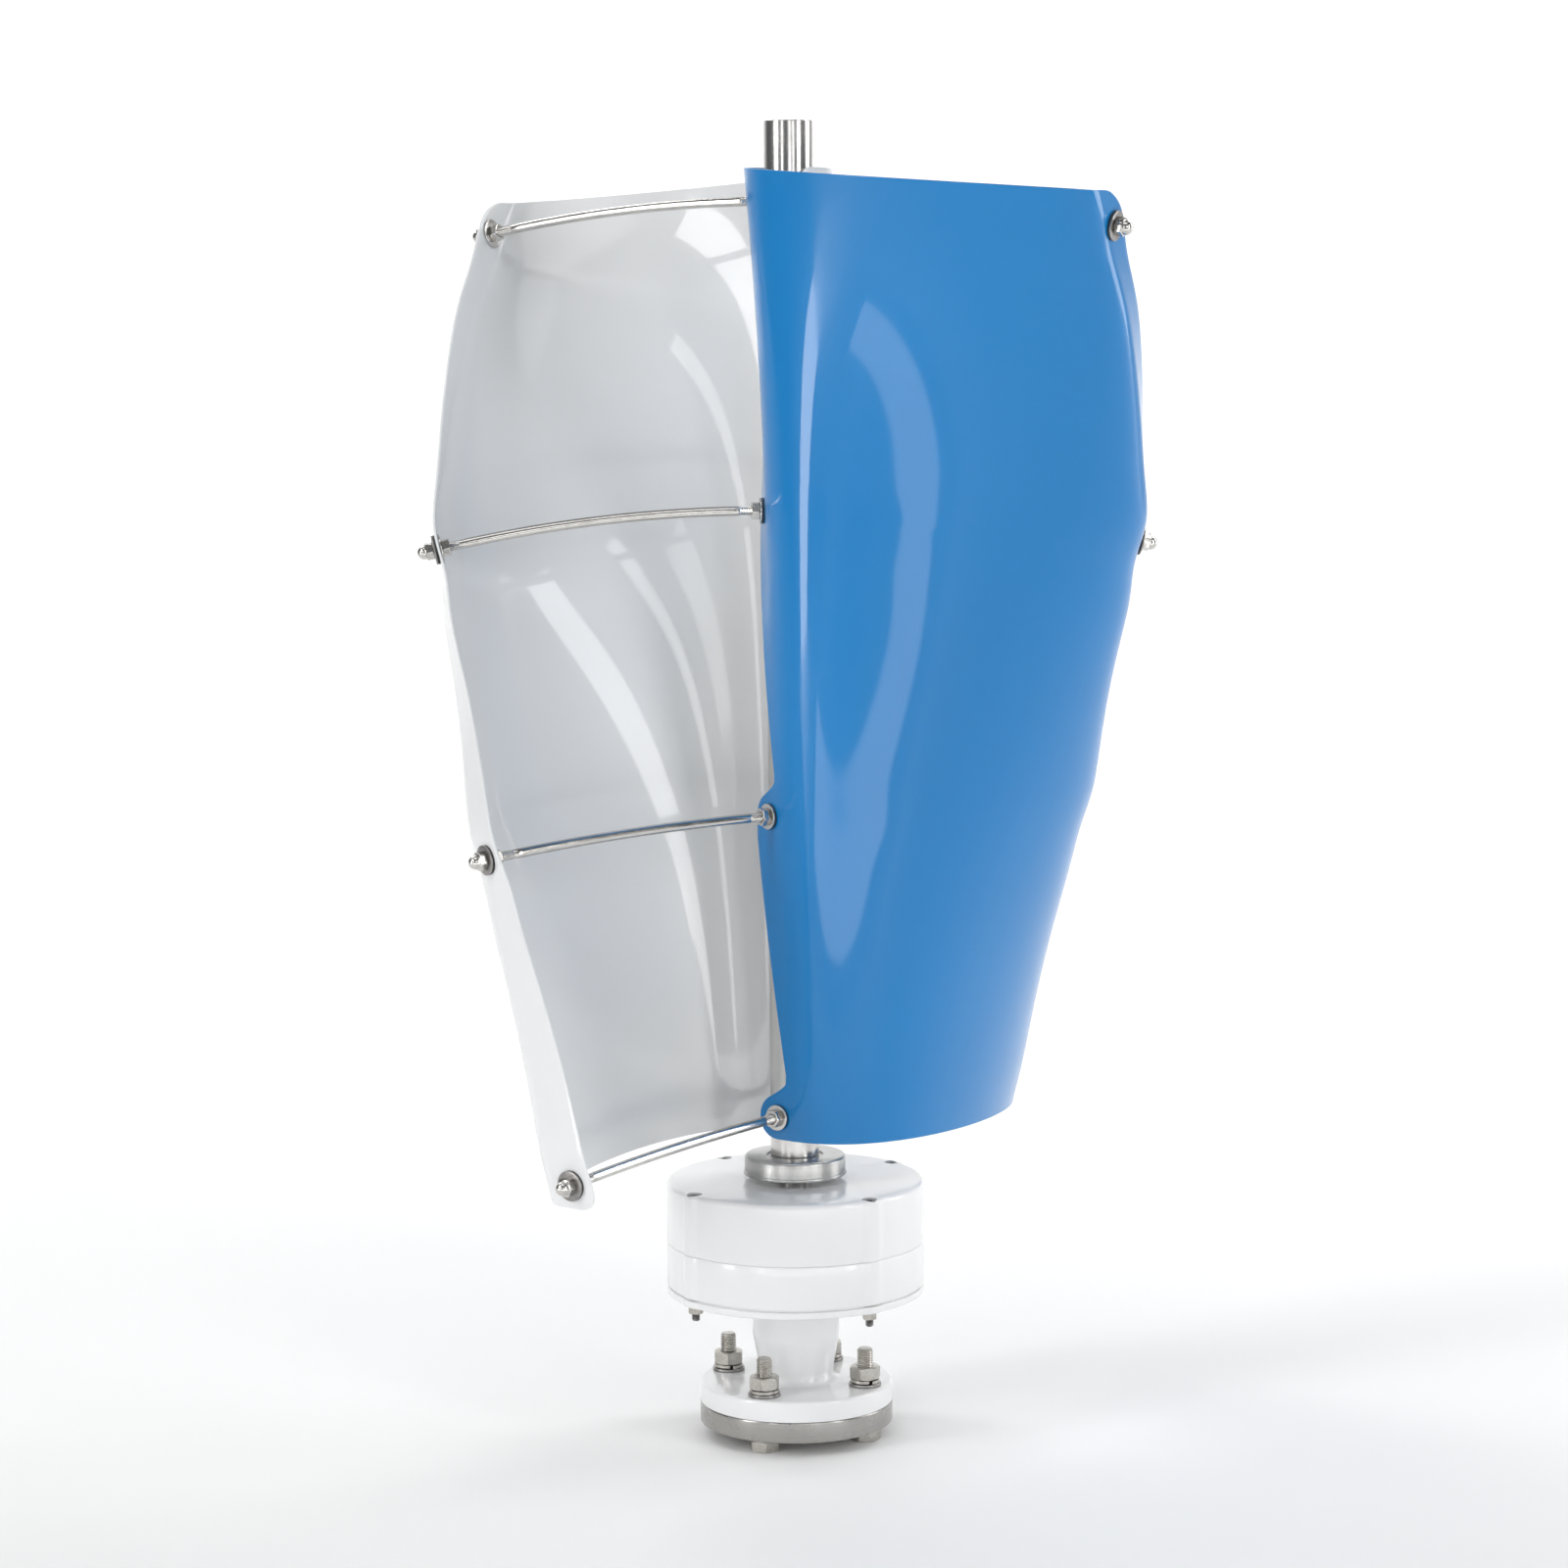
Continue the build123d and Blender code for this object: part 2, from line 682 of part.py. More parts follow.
with BuildPart() as shaft_seal:
    with BuildSketch(Plane.XY.offset(upper_bearing_top)):
        Circle(lip_radius)
        Circle(bearing_bore_radius + running_gap, mode=Mode.SUBTRACT)
    extrude(amount=roof_thickness)
finish(shaft_seal, "shaft_seal")

# ---- magnet plates, magnets, stator and coils ----

with BuildPart() as magnet_plates:
    for bottom in (lower_plate_bottom, upper_plate_bottom):
        with BuildSketch(Plane.XY.offset(bottom)):
            Circle(wall_inner - plate_rim_gap)
            Circle(bearing_bore_radius, mode=Mode.SUBTRACT)
        extrude(amount=plate_thickness)
finish(magnet_plates, "magnet_plates")

with BuildPart() as magnets:
    for bottom in (lower_magnet_bottom, upper_magnet_bottom):
        with BuildSketch(Plane.XY.offset(bottom)):
            with PolarLocations(magnet_circle_radius, magnet_count):
                Circle(magnet_radius)
        extrude(amount=magnet_thickness)
finish(magnets, "magnets")

with BuildPart() as plate_spacers:
    for bottom, top in (
        (lower_magnet_bottom, upper_plate_bottom),
        (upper_plate_top, upper_bearing_bottom),
    ):
        with BuildSketch(Plane.XY.offset(bottom)):
            Circle(inner_ring_radius)
            Circle(bearing_bore_radius, mode=Mode.SUBTRACT)
        extrude(amount=top - bottom)
finish(plate_spacers, "plate_spacers")

with BuildPart() as stator_disc:
    with BuildSketch(Plane.XY.offset(stator_bottom)):
        Circle(spigot_radius)
        Circle(stator_hole_radius, mode=Mode.SUBTRACT)
        with PolarLocations(magnet_circle_radius, coil_count):
            Circle(coil_outer_radius, mode=Mode.SUBTRACT)
    extrude(amount=stator_thickness)
finish(stator_disc, "stator_disc")

with BuildPart() as stator_coils:
    with BuildSketch(Plane.XY.offset(stator_bottom)):
        with PolarLocations(magnet_circle_radius, coil_count):
            Circle(coil_outer_radius)
            Circle(coil_inner_radius, mode=Mode.SUBTRACT)
    extrude(amount=stator_thickness)
finish(stator_coils, "stator_coils")

# ---- hub and rotor shaft ----


def set_screw_planes():
    # on the hub's rim, Z pointing outwards
    middle = (hub_bottom + hub_top) / 2
    planes = []
    for angle in set_screw_angles:
        out = (cos(radians(angle)), sin(radians(angle)), 0)
        planes.append(Plane(origin=(0, 0, middle), x_dir=(-out[1], out[0], 0), z_dir=out))
    return planes


with BuildPart() as hub:
    with BuildSketch(Plane.XY.offset(hub_bottom)):
        Circle(hub_radius)
    extrude(amount=hub_height)
    fillet(hub.edges().filter_by(GeomType.CIRCLE), hub_edge_fillet)
    with Locations((0, 0, hub_bottom)):
        Cylinder(bearing_bore_radius, 3 * hub_height, mode=Mode.SUBTRACT)
    with Locations((0, 0, rotor_shaft_bottom)):
        Cylinder(
            rotor_shaft_radius,
            2 * hub_height,
            align=(Align.CENTER, Align.CENTER, Align.MIN),
            mode=Mode.SUBTRACT,
        )
    with Locations(*[plane.offset(rotor_shaft_radius - 1) for plane in set_screw_planes()]):
        Cylinder(
            set_screw_diameter / 2,
            hub_radius,
            align=(Align.CENTER, Align.CENTER, Align.MIN),
            mode=Mode.SUBTRACT,
        )
finish(hub, "hub")

with BuildPart() as hub_set_screws:
    for plane in set_screw_planes():
        with BuildSketch(plane.offset(rotor_shaft_radius)):
            Circle(set_screw_diameter / 2)
        extrude(amount=set_screw_length)
        with BuildSketch(plane.offset(rotor_shaft_radius + set_screw_length)):
            RegularPolygon(set_screw_diameter / 4, 6, major_radius=False)
        extrude(amount=-set_screw_length / 3, mode=Mode.SUBTRACT)
finish(hub_set_screws, "hub_set_screws")

with BuildPart() as shaft_sleeve:
    with BuildSketch(Plane.XY.offset(rotor_shaft_bottom)):
        Circle(rotor_shaft_bore)
        Circle(bearing_bore_radius, mode=Mode.SUBTRACT)
    extrude(amount=core_height)
finish(shaft_sleeve, "shaft_sleeve")

with BuildPart() as rotor_shaft:
    with BuildSketch(Plane.XY.offset(rotor_shaft_bottom)):
        Circle(rotor_shaft_radius)
        Circle(rotor_shaft_bore, mode=Mode.SUBTRACT)
    extrude(amount=rotor_shaft_top - rotor_shaft_bottom)
    top_rim = rotor_shaft.edges().filter_by(GeomType.CIRCLE).group_by(Axis.Z)[-1].sort_by(SortBy.RADIUS)[-1]
    chamfer(top_rim, shaft_rim_chamfer)
    for level in rod_levels:
        for direction in rod_sides(level):
            with Locations(shaft_plane(level, direction)):
                Cylinder(
                    rod_radius,
                    2 * rotor_shaft_radius,
                    align=(Align.CENTER, Align.CENTER, Align.MIN),
                    mode=Mode.SUBTRACT,
                )
finish(rotor_shaft, "rotor_shaft")

with BuildPart() as shaft_plug:
    with BuildSketch(Plane.XY.offset(rotor_shaft_top - plug_thickness)):
        Circle(rotor_shaft_bore)
    extrude(amount=plug_thickness)
finish(shaft_plug, "shaft_plug")

# ---- blades ----

with BuildPart() as blue_blade:
    build_blade(0)
finish(blue_blade, "blue_blade")

with BuildPart() as white_blade:
    build_blade(1)
finish(white_blade, "white_blade")

# ---- tie rods: level out of the shaft, then drooping in one long bend ----


def build_rod(level, direction):
    slope = rod_end_slopes[level]
    out = (cos(radians(direction)), sin(radians(direction)), 0)
    bend_run = blade_radius - rod_straight_end - rod_straight_start
    bend_radius = bend_run / sin(radians(slope))
    bend_end = (blade_radius - rod_straight_end, -bend_run * tan(radians(slope / 2)))
    tail = rod_straight_end / cos(radians(slope)) + rod_tail
    far_end = (
        bend_end[0] + tail * cos(radians(slope)),
        bend_end[1] - tail * sin(radians(slope)),
    )
    upright = Plane(origin=(0, 0, rod_height(level)), x_dir=out, z_dir=(out[1], -out[0], 0))
    with BuildLine(upright) as path:
        Line((rotor_shaft_bore, 0), (rod_straight_start, 0))
        JernArc((rod_straight_start, 0), (1, 0), bend_radius, -slope)
        Line(bend_end, far_end)
    with BuildSketch(shaft_plane(level, direction).offset(rotor_shaft_bore)) as rod_end:
        Circle(rod_radius)
    sweep(rod_end.sketch, path=path.line)


for level in rod_levels:
    for blade, direction in zip(("blue", "white"), rod_sides(level)):
        with BuildPart() as tie_rod:
            build_rod(level, direction)
        finish(tie_rod, f"{blade}_tie_rod_{level + 1}")

# ---- rod fasteners ----

rod_seats = [(level, direction) for level in rod_levels for direction in rod_sides(level)]
shaft_seats = [shaft_plane(level, direction).offset(blade_inner) for level, direction in rod_seats]
tip_seats = [tip_plane(level, direction) for level, direction in rod_seats]
inner_washer_seat = blade_thickness / 2 + rubber_washer_thickness
inner_nut_seat = shaft_nut_seat - blade_inner
tip_nut_seat = -(blade_thickness / 2 + washer_sheet_gap + steel_washer_thickness)
rod_nut = hex_nut(rod_nut_width, rod_nut_height, rod_radius)


def discs(planes, start, thickness, radius):
    # one washer on each plane, a rod's bore through it
    for plane in planes:
        with BuildSketch(plane.offset(start)) as disc:
            Circle(radius)
            Circle(rod_radius, mode=Mode.SUBTRACT)
        extrude(disc.sketch, amount=thickness)


with BuildPart() as shaft_rubber_washers:
    discs(shaft_seats, 0, inner_washer_seat, inner_washer_diameter / 2)
    add(blue_blade.part, mode=Mode.SUBTRACT)
    add(white_blade.part, mode=Mode.SUBTRACT)
finish(shaft_rubber_washers, "shaft_rubber_washers")

with BuildPart() as shaft_steel_washers:
    discs(shaft_seats, inner_washer_seat, steel_washer_thickness, inner_washer_diameter / 2)
finish(shaft_steel_washers, "shaft_steel_washers")

with BuildPart() as shaft_nuts:
    with Locations(*[plane.offset(inner_nut_seat) for plane in shaft_seats]):
        add(rod_nut)
finish(shaft_nuts, "shaft_nuts")

with BuildPart() as tip_inner_washers:
    discs(tip_seats, tip_nut_seat, steel_washer_thickness, steel_washer_diameter / 2)
finish(tip_inner_washers, "tip_inner_washers")

with BuildPart() as tip_inner_nuts:
    with Locations(*[plane.offset(tip_nut_seat - rod_nut_height) for plane in tip_seats]):
        add(rod_nut)
finish(tip_inner_nuts, "tip_inner_nuts")

with BuildPart() as tip_rubber_washers:
    discs(tip_seats, 0, tip_washer_seat, steel_washer_diameter / 2)
    add(blue_blade.part, mode=Mode.SUBTRACT)
    add(white_blade.part, mode=Mode.SUBTRACT)
finish(tip_rubber_washers, "tip_rubber_washers")

with BuildPart() as tip_outer_washers:
    discs(tip_seats, tip_washer_seat, steel_washer_thickness, steel_washer_diameter / 2)
finish(tip_outer_washers, "tip_outer_washers")

cap_body = hex_nut(rod_nut_width, rod_nut_height, 0, chamfered_top=True)
cap_cylinder = cap_nut_height - cap_dome_radius

with BuildPart() as cap_nut:
    add(cap_body)
    with BuildSketch(Plane.XZ):
        with BuildLine():
            Line((0, 0), (cap_dome_radius, 0))
            Line((cap_dome_radius, 0), (cap_dome_radius, cap_cylinder))
            CenterArc((0, cap_cylinder), cap_dome_radius, 0, 90)
            Line((0, cap_nut_height), (0, 0))
        make_face()
    revolve(axis=Axis.Z)
    Cylinder(
        rod_radius,
        cap_bore_depth,
        align=(Align.CENTER, Align.CENTER, Align.MIN),
        mode=Mode.SUBTRACT,
    )

with BuildPart() as cap_nuts:
    with Locations(*[plane.offset(tip_cap_seat) for plane in tip_seats]):
        add(cap_nut.part)
finish(cap_nuts, "cap_nuts")
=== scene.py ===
from math import cos, exp, hypot, pi, radians, sin, sqrt, tan, atan2

import bmesh
import bpy
from mathutils import Matrix, Vector


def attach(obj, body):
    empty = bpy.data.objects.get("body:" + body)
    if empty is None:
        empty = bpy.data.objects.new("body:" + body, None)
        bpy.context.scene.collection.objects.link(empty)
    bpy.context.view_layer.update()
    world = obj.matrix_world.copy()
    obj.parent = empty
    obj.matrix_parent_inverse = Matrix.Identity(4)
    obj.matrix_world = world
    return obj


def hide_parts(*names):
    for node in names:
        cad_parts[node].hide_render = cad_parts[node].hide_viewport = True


# Helical two-blade wind rotor on its round generator, with a bolted mast flange.
# Sizes are millimetres and degrees. finishPiece turns each mesh into metres.

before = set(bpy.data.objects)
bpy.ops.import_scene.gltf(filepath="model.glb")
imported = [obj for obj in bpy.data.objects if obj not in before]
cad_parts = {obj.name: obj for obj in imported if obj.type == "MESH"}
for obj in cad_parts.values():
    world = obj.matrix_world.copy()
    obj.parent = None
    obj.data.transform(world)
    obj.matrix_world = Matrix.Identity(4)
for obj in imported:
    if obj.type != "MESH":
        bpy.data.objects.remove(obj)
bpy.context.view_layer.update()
print("frame loaded:", len(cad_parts), "nodes")

mm = 0.001
cleanUpDistance = 0.001
fullTurn = 2 * pi


# shader groups that several finishes share

def addNode(tree, kind, links=None, **settings):
    # a node whose inputs are given as sockets to link or as plain values
    made = tree.nodes.new("ShaderNode" + kind)
    for key, value in settings.items():
        setattr(made, key, value)
    for socket, source in (links or {}).items():
        if isinstance(source, bpy.types.NodeSocket):
            tree.links.new(source, made.inputs[socket])
        else:
            made.inputs[socket].default_value = source
    return made


def addMath(tree, operation, first, second=0.0, clamp=False):
    links = {0: first, 1: second}
    return addNode(tree, "Math", links, operation=operation, use_clamp=clamp).outputs[0]


def addRange(tree, value, low, high, newLow, newHigh):
    links = {"Value": value, "From Min": low, "From Max": high, "To Min": newLow, "To Max": newHigh}
    return addNode(tree, "MapRange", links).outputs["Result"]


def addNoise(tree, vector, scale, detail=2.0, roughness=0.5):
    links = {"Vector": vector, "Scale": scale, "Detail": detail, "Roughness": roughness}
    return addNode(tree, "TexNoise", links).outputs["Fac"]


def objectPoint(tree):
    return addNode(tree, "TexCoord").outputs["Object"]


def startGroup(name, inputs, output="Value"):
    group = bpy.data.node_groups.new(name, "ShaderNodeTree")
    for label, value in inputs.items():
        socket = group.interface.new_socket(label, in_out="INPUT", socket_type="NodeSocketFloat")
        socket.default_value = value
    group.interface.new_socket(output, in_out="OUTPUT", socket_type="NodeSocketFloat")
    inside = group.nodes.new("NodeGroupInput")
    outside = group.nodes.new("NodeGroupOutput")
    return group, inside.outputs, outside.inputs


def makeGrainGroup():
    # even speckle, as orange peel in paint or cast skin
    group, given, result = startGroup("fineGrain", {"Scale": 400.0, "Detail": 3.0})
    value = addNoise(group, objectPoint(group), given["Scale"], given["Detail"])
    group.links.new(value, result["Value"])
    return group


def makeLatheGroup():
    # tool marks that run round the vertical axis
    group, given, result = startGroup("latheMarks", {"Scale": 2500.0, "Detail": 2.0})
    split = addNode(group, "SeparateXYZ", {0: objectPoint(group)}).outputs
    reach = addMath(group, "POWER", addMath(
        group, "ADD", addMath(group, "MULTIPLY", split[0], split[0]),
        addMath(group, "MULTIPLY", split[1], split[1])), 0.5)
    line = addNode(group, "CombineXYZ", {0: reach, 2: split[2]}).outputs[0]
    group.links.new(addNoise(group, line, given["Scale"], given["Detail"]), result["Value"])
    return group


def makeBrushedGroup():
    # polishing lines that run up the vertical axis
    group, given, result = startGroup("brushedLines", {"Scale": 900.0, "Squeeze": 0.015})
    split = addNode(group, "SeparateXYZ", {0: objectPoint(group)}).outputs
    height = addMath(group, "MULTIPLY", split[2], given["Squeeze"])
    vector = addNode(group, "CombineXYZ", {0: split[0], 1: split[1], 2: height}).outputs[0]
    group.links.new(addNoise(group, vector, given["Scale"], 2.0), result["Value"])
    return group


def makeEdgeWearGroup():
    # bright where a corner is sharper than the given radius, broken up by noise
    group, given, result = startGroup("edgeWear", {"Radius": 0.0008, "Gain": 6.0, "Breakup": 260.0})
    rounded = addNode(group, "Bevel", {"Radius": given["Radius"]}, samples=4).outputs[0]
    flat = addNode(group, "NewGeometry").outputs["Normal"]
    match = addNode(group, "VectorMath", {0: rounded, 1: flat}, operation="DOT_PRODUCT")
    corner = addMath(group, "SUBTRACT", 1.0, match.outputs["Value"])
    cloud = addNoise(group, objectPoint(group), given["Breakup"], 4.0)
    patches = addRange(group, cloud, 0.42, 0.62, 0.0, 1.0)
    worn = addMath(group, "MULTIPLY", addMath(group, "MULTIPLY", corner, given["Gain"]), patches, True)
    group.links.new(worn, result["Value"])
    return group


def makeDustGroup():
    # settles on what faces up, in soft patches
    group, given, result = startGroup("settledDust", {"Amount": 0.3, "Scale": 45.0})
    normal = addNode(group, "NewGeometry").outputs["Normal"]
    up = addNode(group, "SeparateXYZ", {0: normal}).outputs[2]
    facing = addRange(group, up, 0.3, 1.0, 0.0, 1.0)
    cloud = addNoise(group, objectPoint(group), given["Scale"], 3.0, 0.5)
    patches = addRange(group, cloud, 0.25, 0.8, 0.2, 1.0)
    settled = addMath(group, "MULTIPLY", addMath(group, "MULTIPLY", facing, patches), given["Amount"], True)
    group.links.new(settled, result["Value"])
    return group


def makeSmudgeGroup():
    # broad handling marks that dull the gloss a little
    group, given, result = startGroup("smudges", {"Scale": 14.0, "Low": 0.1, "High": 0.2})
    cloud = addNoise(group, objectPoint(group), given["Scale"], 3.0, 0.5)
    group.links.new(addRange(group, cloud, 0.25, 0.75, given["Low"], given["High"]), result["Value"])
    return group


fineGrain = makeGrainGroup()
latheMarks = makeLatheGroup()
brushedLines = makeBrushedGroup()
edgeWear = makeEdgeWearGroup()
settledDust = makeDustGroup()
smudges = makeSmudgeGroup()


# finishes

def useGroup(tree, group, **values):
    placed = tree.nodes.new("ShaderNodeGroup")
    placed.node_tree = group
    for label, value in values.items():
        placed.inputs[label].default_value = value
    return placed.outputs["Value"]


def mixColours(tree, share, first, second, blend="MIX"):
    mixed = tree.nodes.new("ShaderNodeMix")
    mixed.data_type = "RGBA"
    mixed.blend_type = blend
    tree.links.new(share, mixed.inputs["Factor"])
    for socket, colour in ((mixed.inputs[6], first), (mixed.inputs[7], second)):
        if isinstance(colour, bpy.types.NodeSocket):
            tree.links.new(colour, socket)
        else:
            socket.default_value = (*colour, 1.0)
    return mixed.outputs[2]


def startMaterial(name, fixed):
    # fixed values go on the shader's own sockets
    material = bpy.data.materials.new(name)
    material.use_nodes = True
    tree = material.node_tree
    shader = tree.nodes["Principled BSDF"]
    for socket, value in fixed.items():
        shader.inputs[socket].default_value = value
    return material, tree, shader


def addBump(tree, shader, height, strength, distance):
    bump = addNode(tree, "Bump", {"Height": height, "Strength": strength, "Distance": distance})
    tree.links.new(bump.outputs["Normal"], shader.inputs["Normal"])


def paintFinish(name, look):
    # sprayed gloss paint: faint orange peel, soft tone, dust on top, bare specks on the edges
    fixed = {
        "Coat Weight": look["coat"], "Coat Roughness": look["coatRoughness"], "IOR": 1.5,
        "Specular IOR Level": look["shine"],
    }
    material, tree, shader = startMaterial(name, fixed)
    cloud = useGroup(tree, fineGrain, Scale=look["cloudScale"], Detail=1.0)
    base = mixColours(tree, addRange(tree, cloud, 0.35, 0.65, 0.0, 1.0), look["colour"], look["deeper"])
    dusty = mixColours(tree, useGroup(tree, settledDust, Amount=look["dust"]), base, look["dustColour"])
    worn = useGroup(tree, edgeWear, Gain=look["wear"], Radius=look["wearRadius"])
    tree.links.new(mixColours(tree, worn, dusty, look["bareColour"]), shader.inputs["Base Color"])
    gloss = useGroup(tree, smudges, Low=look["roughness"][0], High=look["roughness"][1])
    scuffed = addMath(tree, "ADD", gloss, addMath(tree, "MULTIPLY", worn, 0.2))
    tree.links.new(scuffed, shader.inputs["Roughness"])
    peel = useGroup(tree, fineGrain, Scale=look["peelScale"], Detail=1.0)
    addBump(tree, shader, peel, look["peel"], 0.0004)
    return material


def metalFinish(name, look):
    # bare metal with tool marks, a little grime and rubbed edges
    material, tree, shader = startMaterial(name, {"Metallic": 1.0})
    marks = useGroup(tree, look["marks"], Scale=look["markScale"])
    tone = mixColours(tree, addRange(tree, marks, 0.3, 0.7, 0.0, 1.0), look["colour"], look["deeper"])
    specks = useGroup(tree, fineGrain, Scale=look["grimeScale"], Detail=6.0)
    grime = addRange(tree, specks, 0.5, 0.8, 0.0, look["grime"])
    soiled = mixColours(tree, grime, tone, look["grimeColour"])
    worn = useGroup(tree, edgeWear, Gain=look["wear"], Radius=0.0006)
    tree.links.new(mixColours(tree, worn, soiled, look["brightEdge"]), shader.inputs["Base Color"])
    low, high = look["roughness"]
    gloss = useGroup(tree, smudges, Low=low, High=high, Scale=look["smudgeScale"])
    rough = addMath(tree, "ADD", gloss, addMath(tree, "MULTIPLY", grime, 0.3))
    tree.links.new(rough, shader.inputs["Roughness"])
    addBump(tree, shader, marks, look["bump"], look["bumpDepth"])
    return material


def softFinish(name, look):
    # rubber, resin and other plain moulded stuff
    material, tree, shader = startMaterial(name, {"Specular IOR Level": look["shine"]})
    grain = useGroup(tree, fineGrain, Scale=look["grainScale"], Detail=4.0)
    tone = mixColours(tree, addRange(tree, grain, 0.35, 0.65, 0.0, 1.0), look["colour"], look["deeper"])
    dusty = mixColours(tree, useGroup(tree, settledDust, Amount=look["dust"]), tone, (0.35, 0.33, 0.30))
    tree.links.new(dusty, shader.inputs["Base Color"])
    gloss = useGroup(tree, smudges, Low=look["roughness"][0], High=look["roughness"][1], Scale=60.0)
    tree.links.new(gloss, shader.inputs["Roughness"])
    addBump(tree, shader, grain, look["bump"], 0.0003)
    return material


bluePaint = paintFinish("bluePaint", {
    "colour": (0.000, 0.190, 0.500), "deeper": (0.000, 0.182, 0.482), "cloudScale": 6.0,
    "coat": 0.7, "coatRoughness": 0.05, "shine": 0.2, "roughness": (0.30, 0.36),
    "dust": 0.04, "dustColour": (0.30, 0.42, 0.52),
    "wear": 2.5, "wearRadius": 0.0005, "bareColour": (0.20, 0.42, 0.60),
    "peelScale": 420.0, "peel": 0.05,
})

whitePaint = paintFinish("whitePaint", {
    "colour": (0.74, 0.75, 0.755), "deeper": (0.72, 0.73, 0.735), "cloudScale": 6.0,
    "coat": 0.7, "coatRoughness": 0.05, "shine": 0.3, "roughness": (0.28, 0.34),
    "dust": 0.08, "dustColour": (0.50, 0.49, 0.46),
    "wear": 2.5, "wearRadius": 0.0005, "bareColour": (0.50, 0.51, 0.52),
    "peelScale": 420.0, "peel": 0.05,
})

whiteEnamel = paintFinish("whiteEnamel", {
    "colour": (0.78, 0.785, 0.79), "deeper": (0.77, 0.775, 0.78), "cloudScale": 12.0,
    "coat": 0.7, "coatRoughness": 0.07, "shine": 0.3, "roughness": (0.26, 0.34),
    "dust": 0.10, "dustColour": (0.55, 0.53, 0.50),
    "wear": 2.0, "wearRadius": 0.0006, "bareColour": (0.52, 0.52, 0.51),
    "peelScale": 300.0, "peel": 0.09,
})

polishedStainless = metalFinish("polishedStainless", {
    "colour": (0.66, 0.65, 0.63), "deeper": (0.60, 0.59, 0.575), "marks": brushedLines, "markScale": 700.0,
    "grime": 0.12, "grimeScale": 60.0, "grimeColour": (0.30, 0.28, 0.25),
    "wear": 2.0, "brightEdge": (0.85, 0.85, 0.84), "roughness": (0.16, 0.24), "smudgeScale": 30.0,
    "bump": 0.05, "bumpDepth": 0.0001,
})

stainless = metalFinish("stainless", {
    "colour": (0.68, 0.66, 0.63), "deeper": (0.58, 0.565, 0.54), "marks": fineGrain, "markScale": 1400.0,
    "grime": 0.25, "grimeScale": 150.0, "grimeColour": (0.26, 0.23, 0.19),
    "wear": 3.0, "brightEdge": (0.86, 0.85, 0.83), "roughness": (0.14, 0.24), "smudgeScale": 80.0,
    "bump": 0.08, "bumpDepth": 0.00008,
})

# steel darkened to paint the shade on washers tucked under nuts: the dark tone and heavy dark specks are
# painted shade, the rubbed edges are wear
washerSteelPaintedShade = metalFinish("washerSteelPaintedShade", {
    "colour": (0.34, 0.33, 0.32), "deeper": (0.26, 0.25, 0.24), "marks": fineGrain, "markScale": 900.0,
    "grime": 0.4, "grimeScale": 200.0, "grimeColour": (0.10, 0.09, 0.08),
    "wear": 5.0, "brightEdge": (0.66, 0.65, 0.63), "roughness": (0.28, 0.42), "smudgeScale": 90.0,
    "bump": 0.12, "bumpDepth": 0.0001,
})

zincSteel = metalFinish("zincSteel", {
    "colour": (0.56, 0.54, 0.50), "deeper": (0.44, 0.42, 0.385), "marks": fineGrain, "markScale": 700.0,
    "grime": 0.35, "grimeScale": 170.0, "grimeColour": (0.22, 0.19, 0.15),
    "wear": 4.0, "brightEdge": (0.80, 0.78, 0.74), "roughness": (0.24, 0.38), "smudgeScale": 90.0,
    "bump": 0.15, "bumpDepth": 0.0001,
})

machinedSteel = metalFinish("machinedSteel", {
    "colour": (0.44, 0.43, 0.41), "deeper": (0.36, 0.35, 0.335), "marks": latheMarks, "markScale": 1800.0,
    "grime": 0.2, "grimeScale": 80.0, "grimeColour": (0.25, 0.23, 0.21),
    "wear": 3.0, "brightEdge": (0.82, 0.82, 0.82), "roughness": (0.20, 0.30), "smudgeScale": 40.0,
    "bump": 0.25, "bumpDepth": 0.00012,
})

darkSteel = metalFinish("darkSteel", {
    "colour": (0.26, 0.255, 0.25), "deeper": (0.19, 0.185, 0.18), "marks": fineGrain, "markScale": 900.0,
    "grime": 0.3, "grimeScale": 200.0, "grimeColour": (0.05, 0.045, 0.04),
    "wear": 6.0, "brightEdge": (0.45, 0.45, 0.45), "roughness": (0.32, 0.45), "smudgeScale": 90.0,
    "bump": 0.15, "bumpDepth": 0.0001,
})

bearingSteel = metalFinish("bearingSteel", {
    "colour": (0.62, 0.62, 0.63), "deeper": (0.55, 0.55, 0.56), "marks": latheMarks, "markScale": 3000.0,
    "grime": 0.15, "grimeScale": 120.0, "grimeColour": (0.25, 0.20, 0.12),
    "wear": 2.0, "brightEdge": (0.8, 0.8, 0.8), "roughness": (0.12, 0.20), "smudgeScale": 60.0,
    "bump": 0.08, "bumpDepth": 0.00006,
})

magnetPlating = metalFinish("magnetPlating", {
    "colour": (0.60, 0.58, 0.54), "deeper": (0.53, 0.51, 0.475), "marks": fineGrain, "markScale": 600.0,
    "grime": 0.15, "grimeScale": 120.0, "grimeColour": (0.3, 0.27, 0.22),
    "wear": 3.0, "brightEdge": (0.8, 0.79, 0.76), "roughness": (0.16, 0.26), "smudgeScale": 60.0,
    "bump": 0.05, "bumpDepth": 0.00006,
})

turnedAluminium = metalFinish("turnedAluminium", {
    "colour": (0.54, 0.54, 0.53), "deeper": (0.45, 0.45, 0.44), "marks": latheMarks, "markScale": 2600.0,
    "grime": 0.18, "grimeScale": 70.0, "grimeColour": (0.30, 0.29, 0.27),
    "wear": 3.0, "brightEdge": (0.80, 0.80, 0.79), "roughness": (0.28, 0.38), "smudgeScale": 45.0,
    "bump": 0.25, "bumpDepth": 0.00008,
})

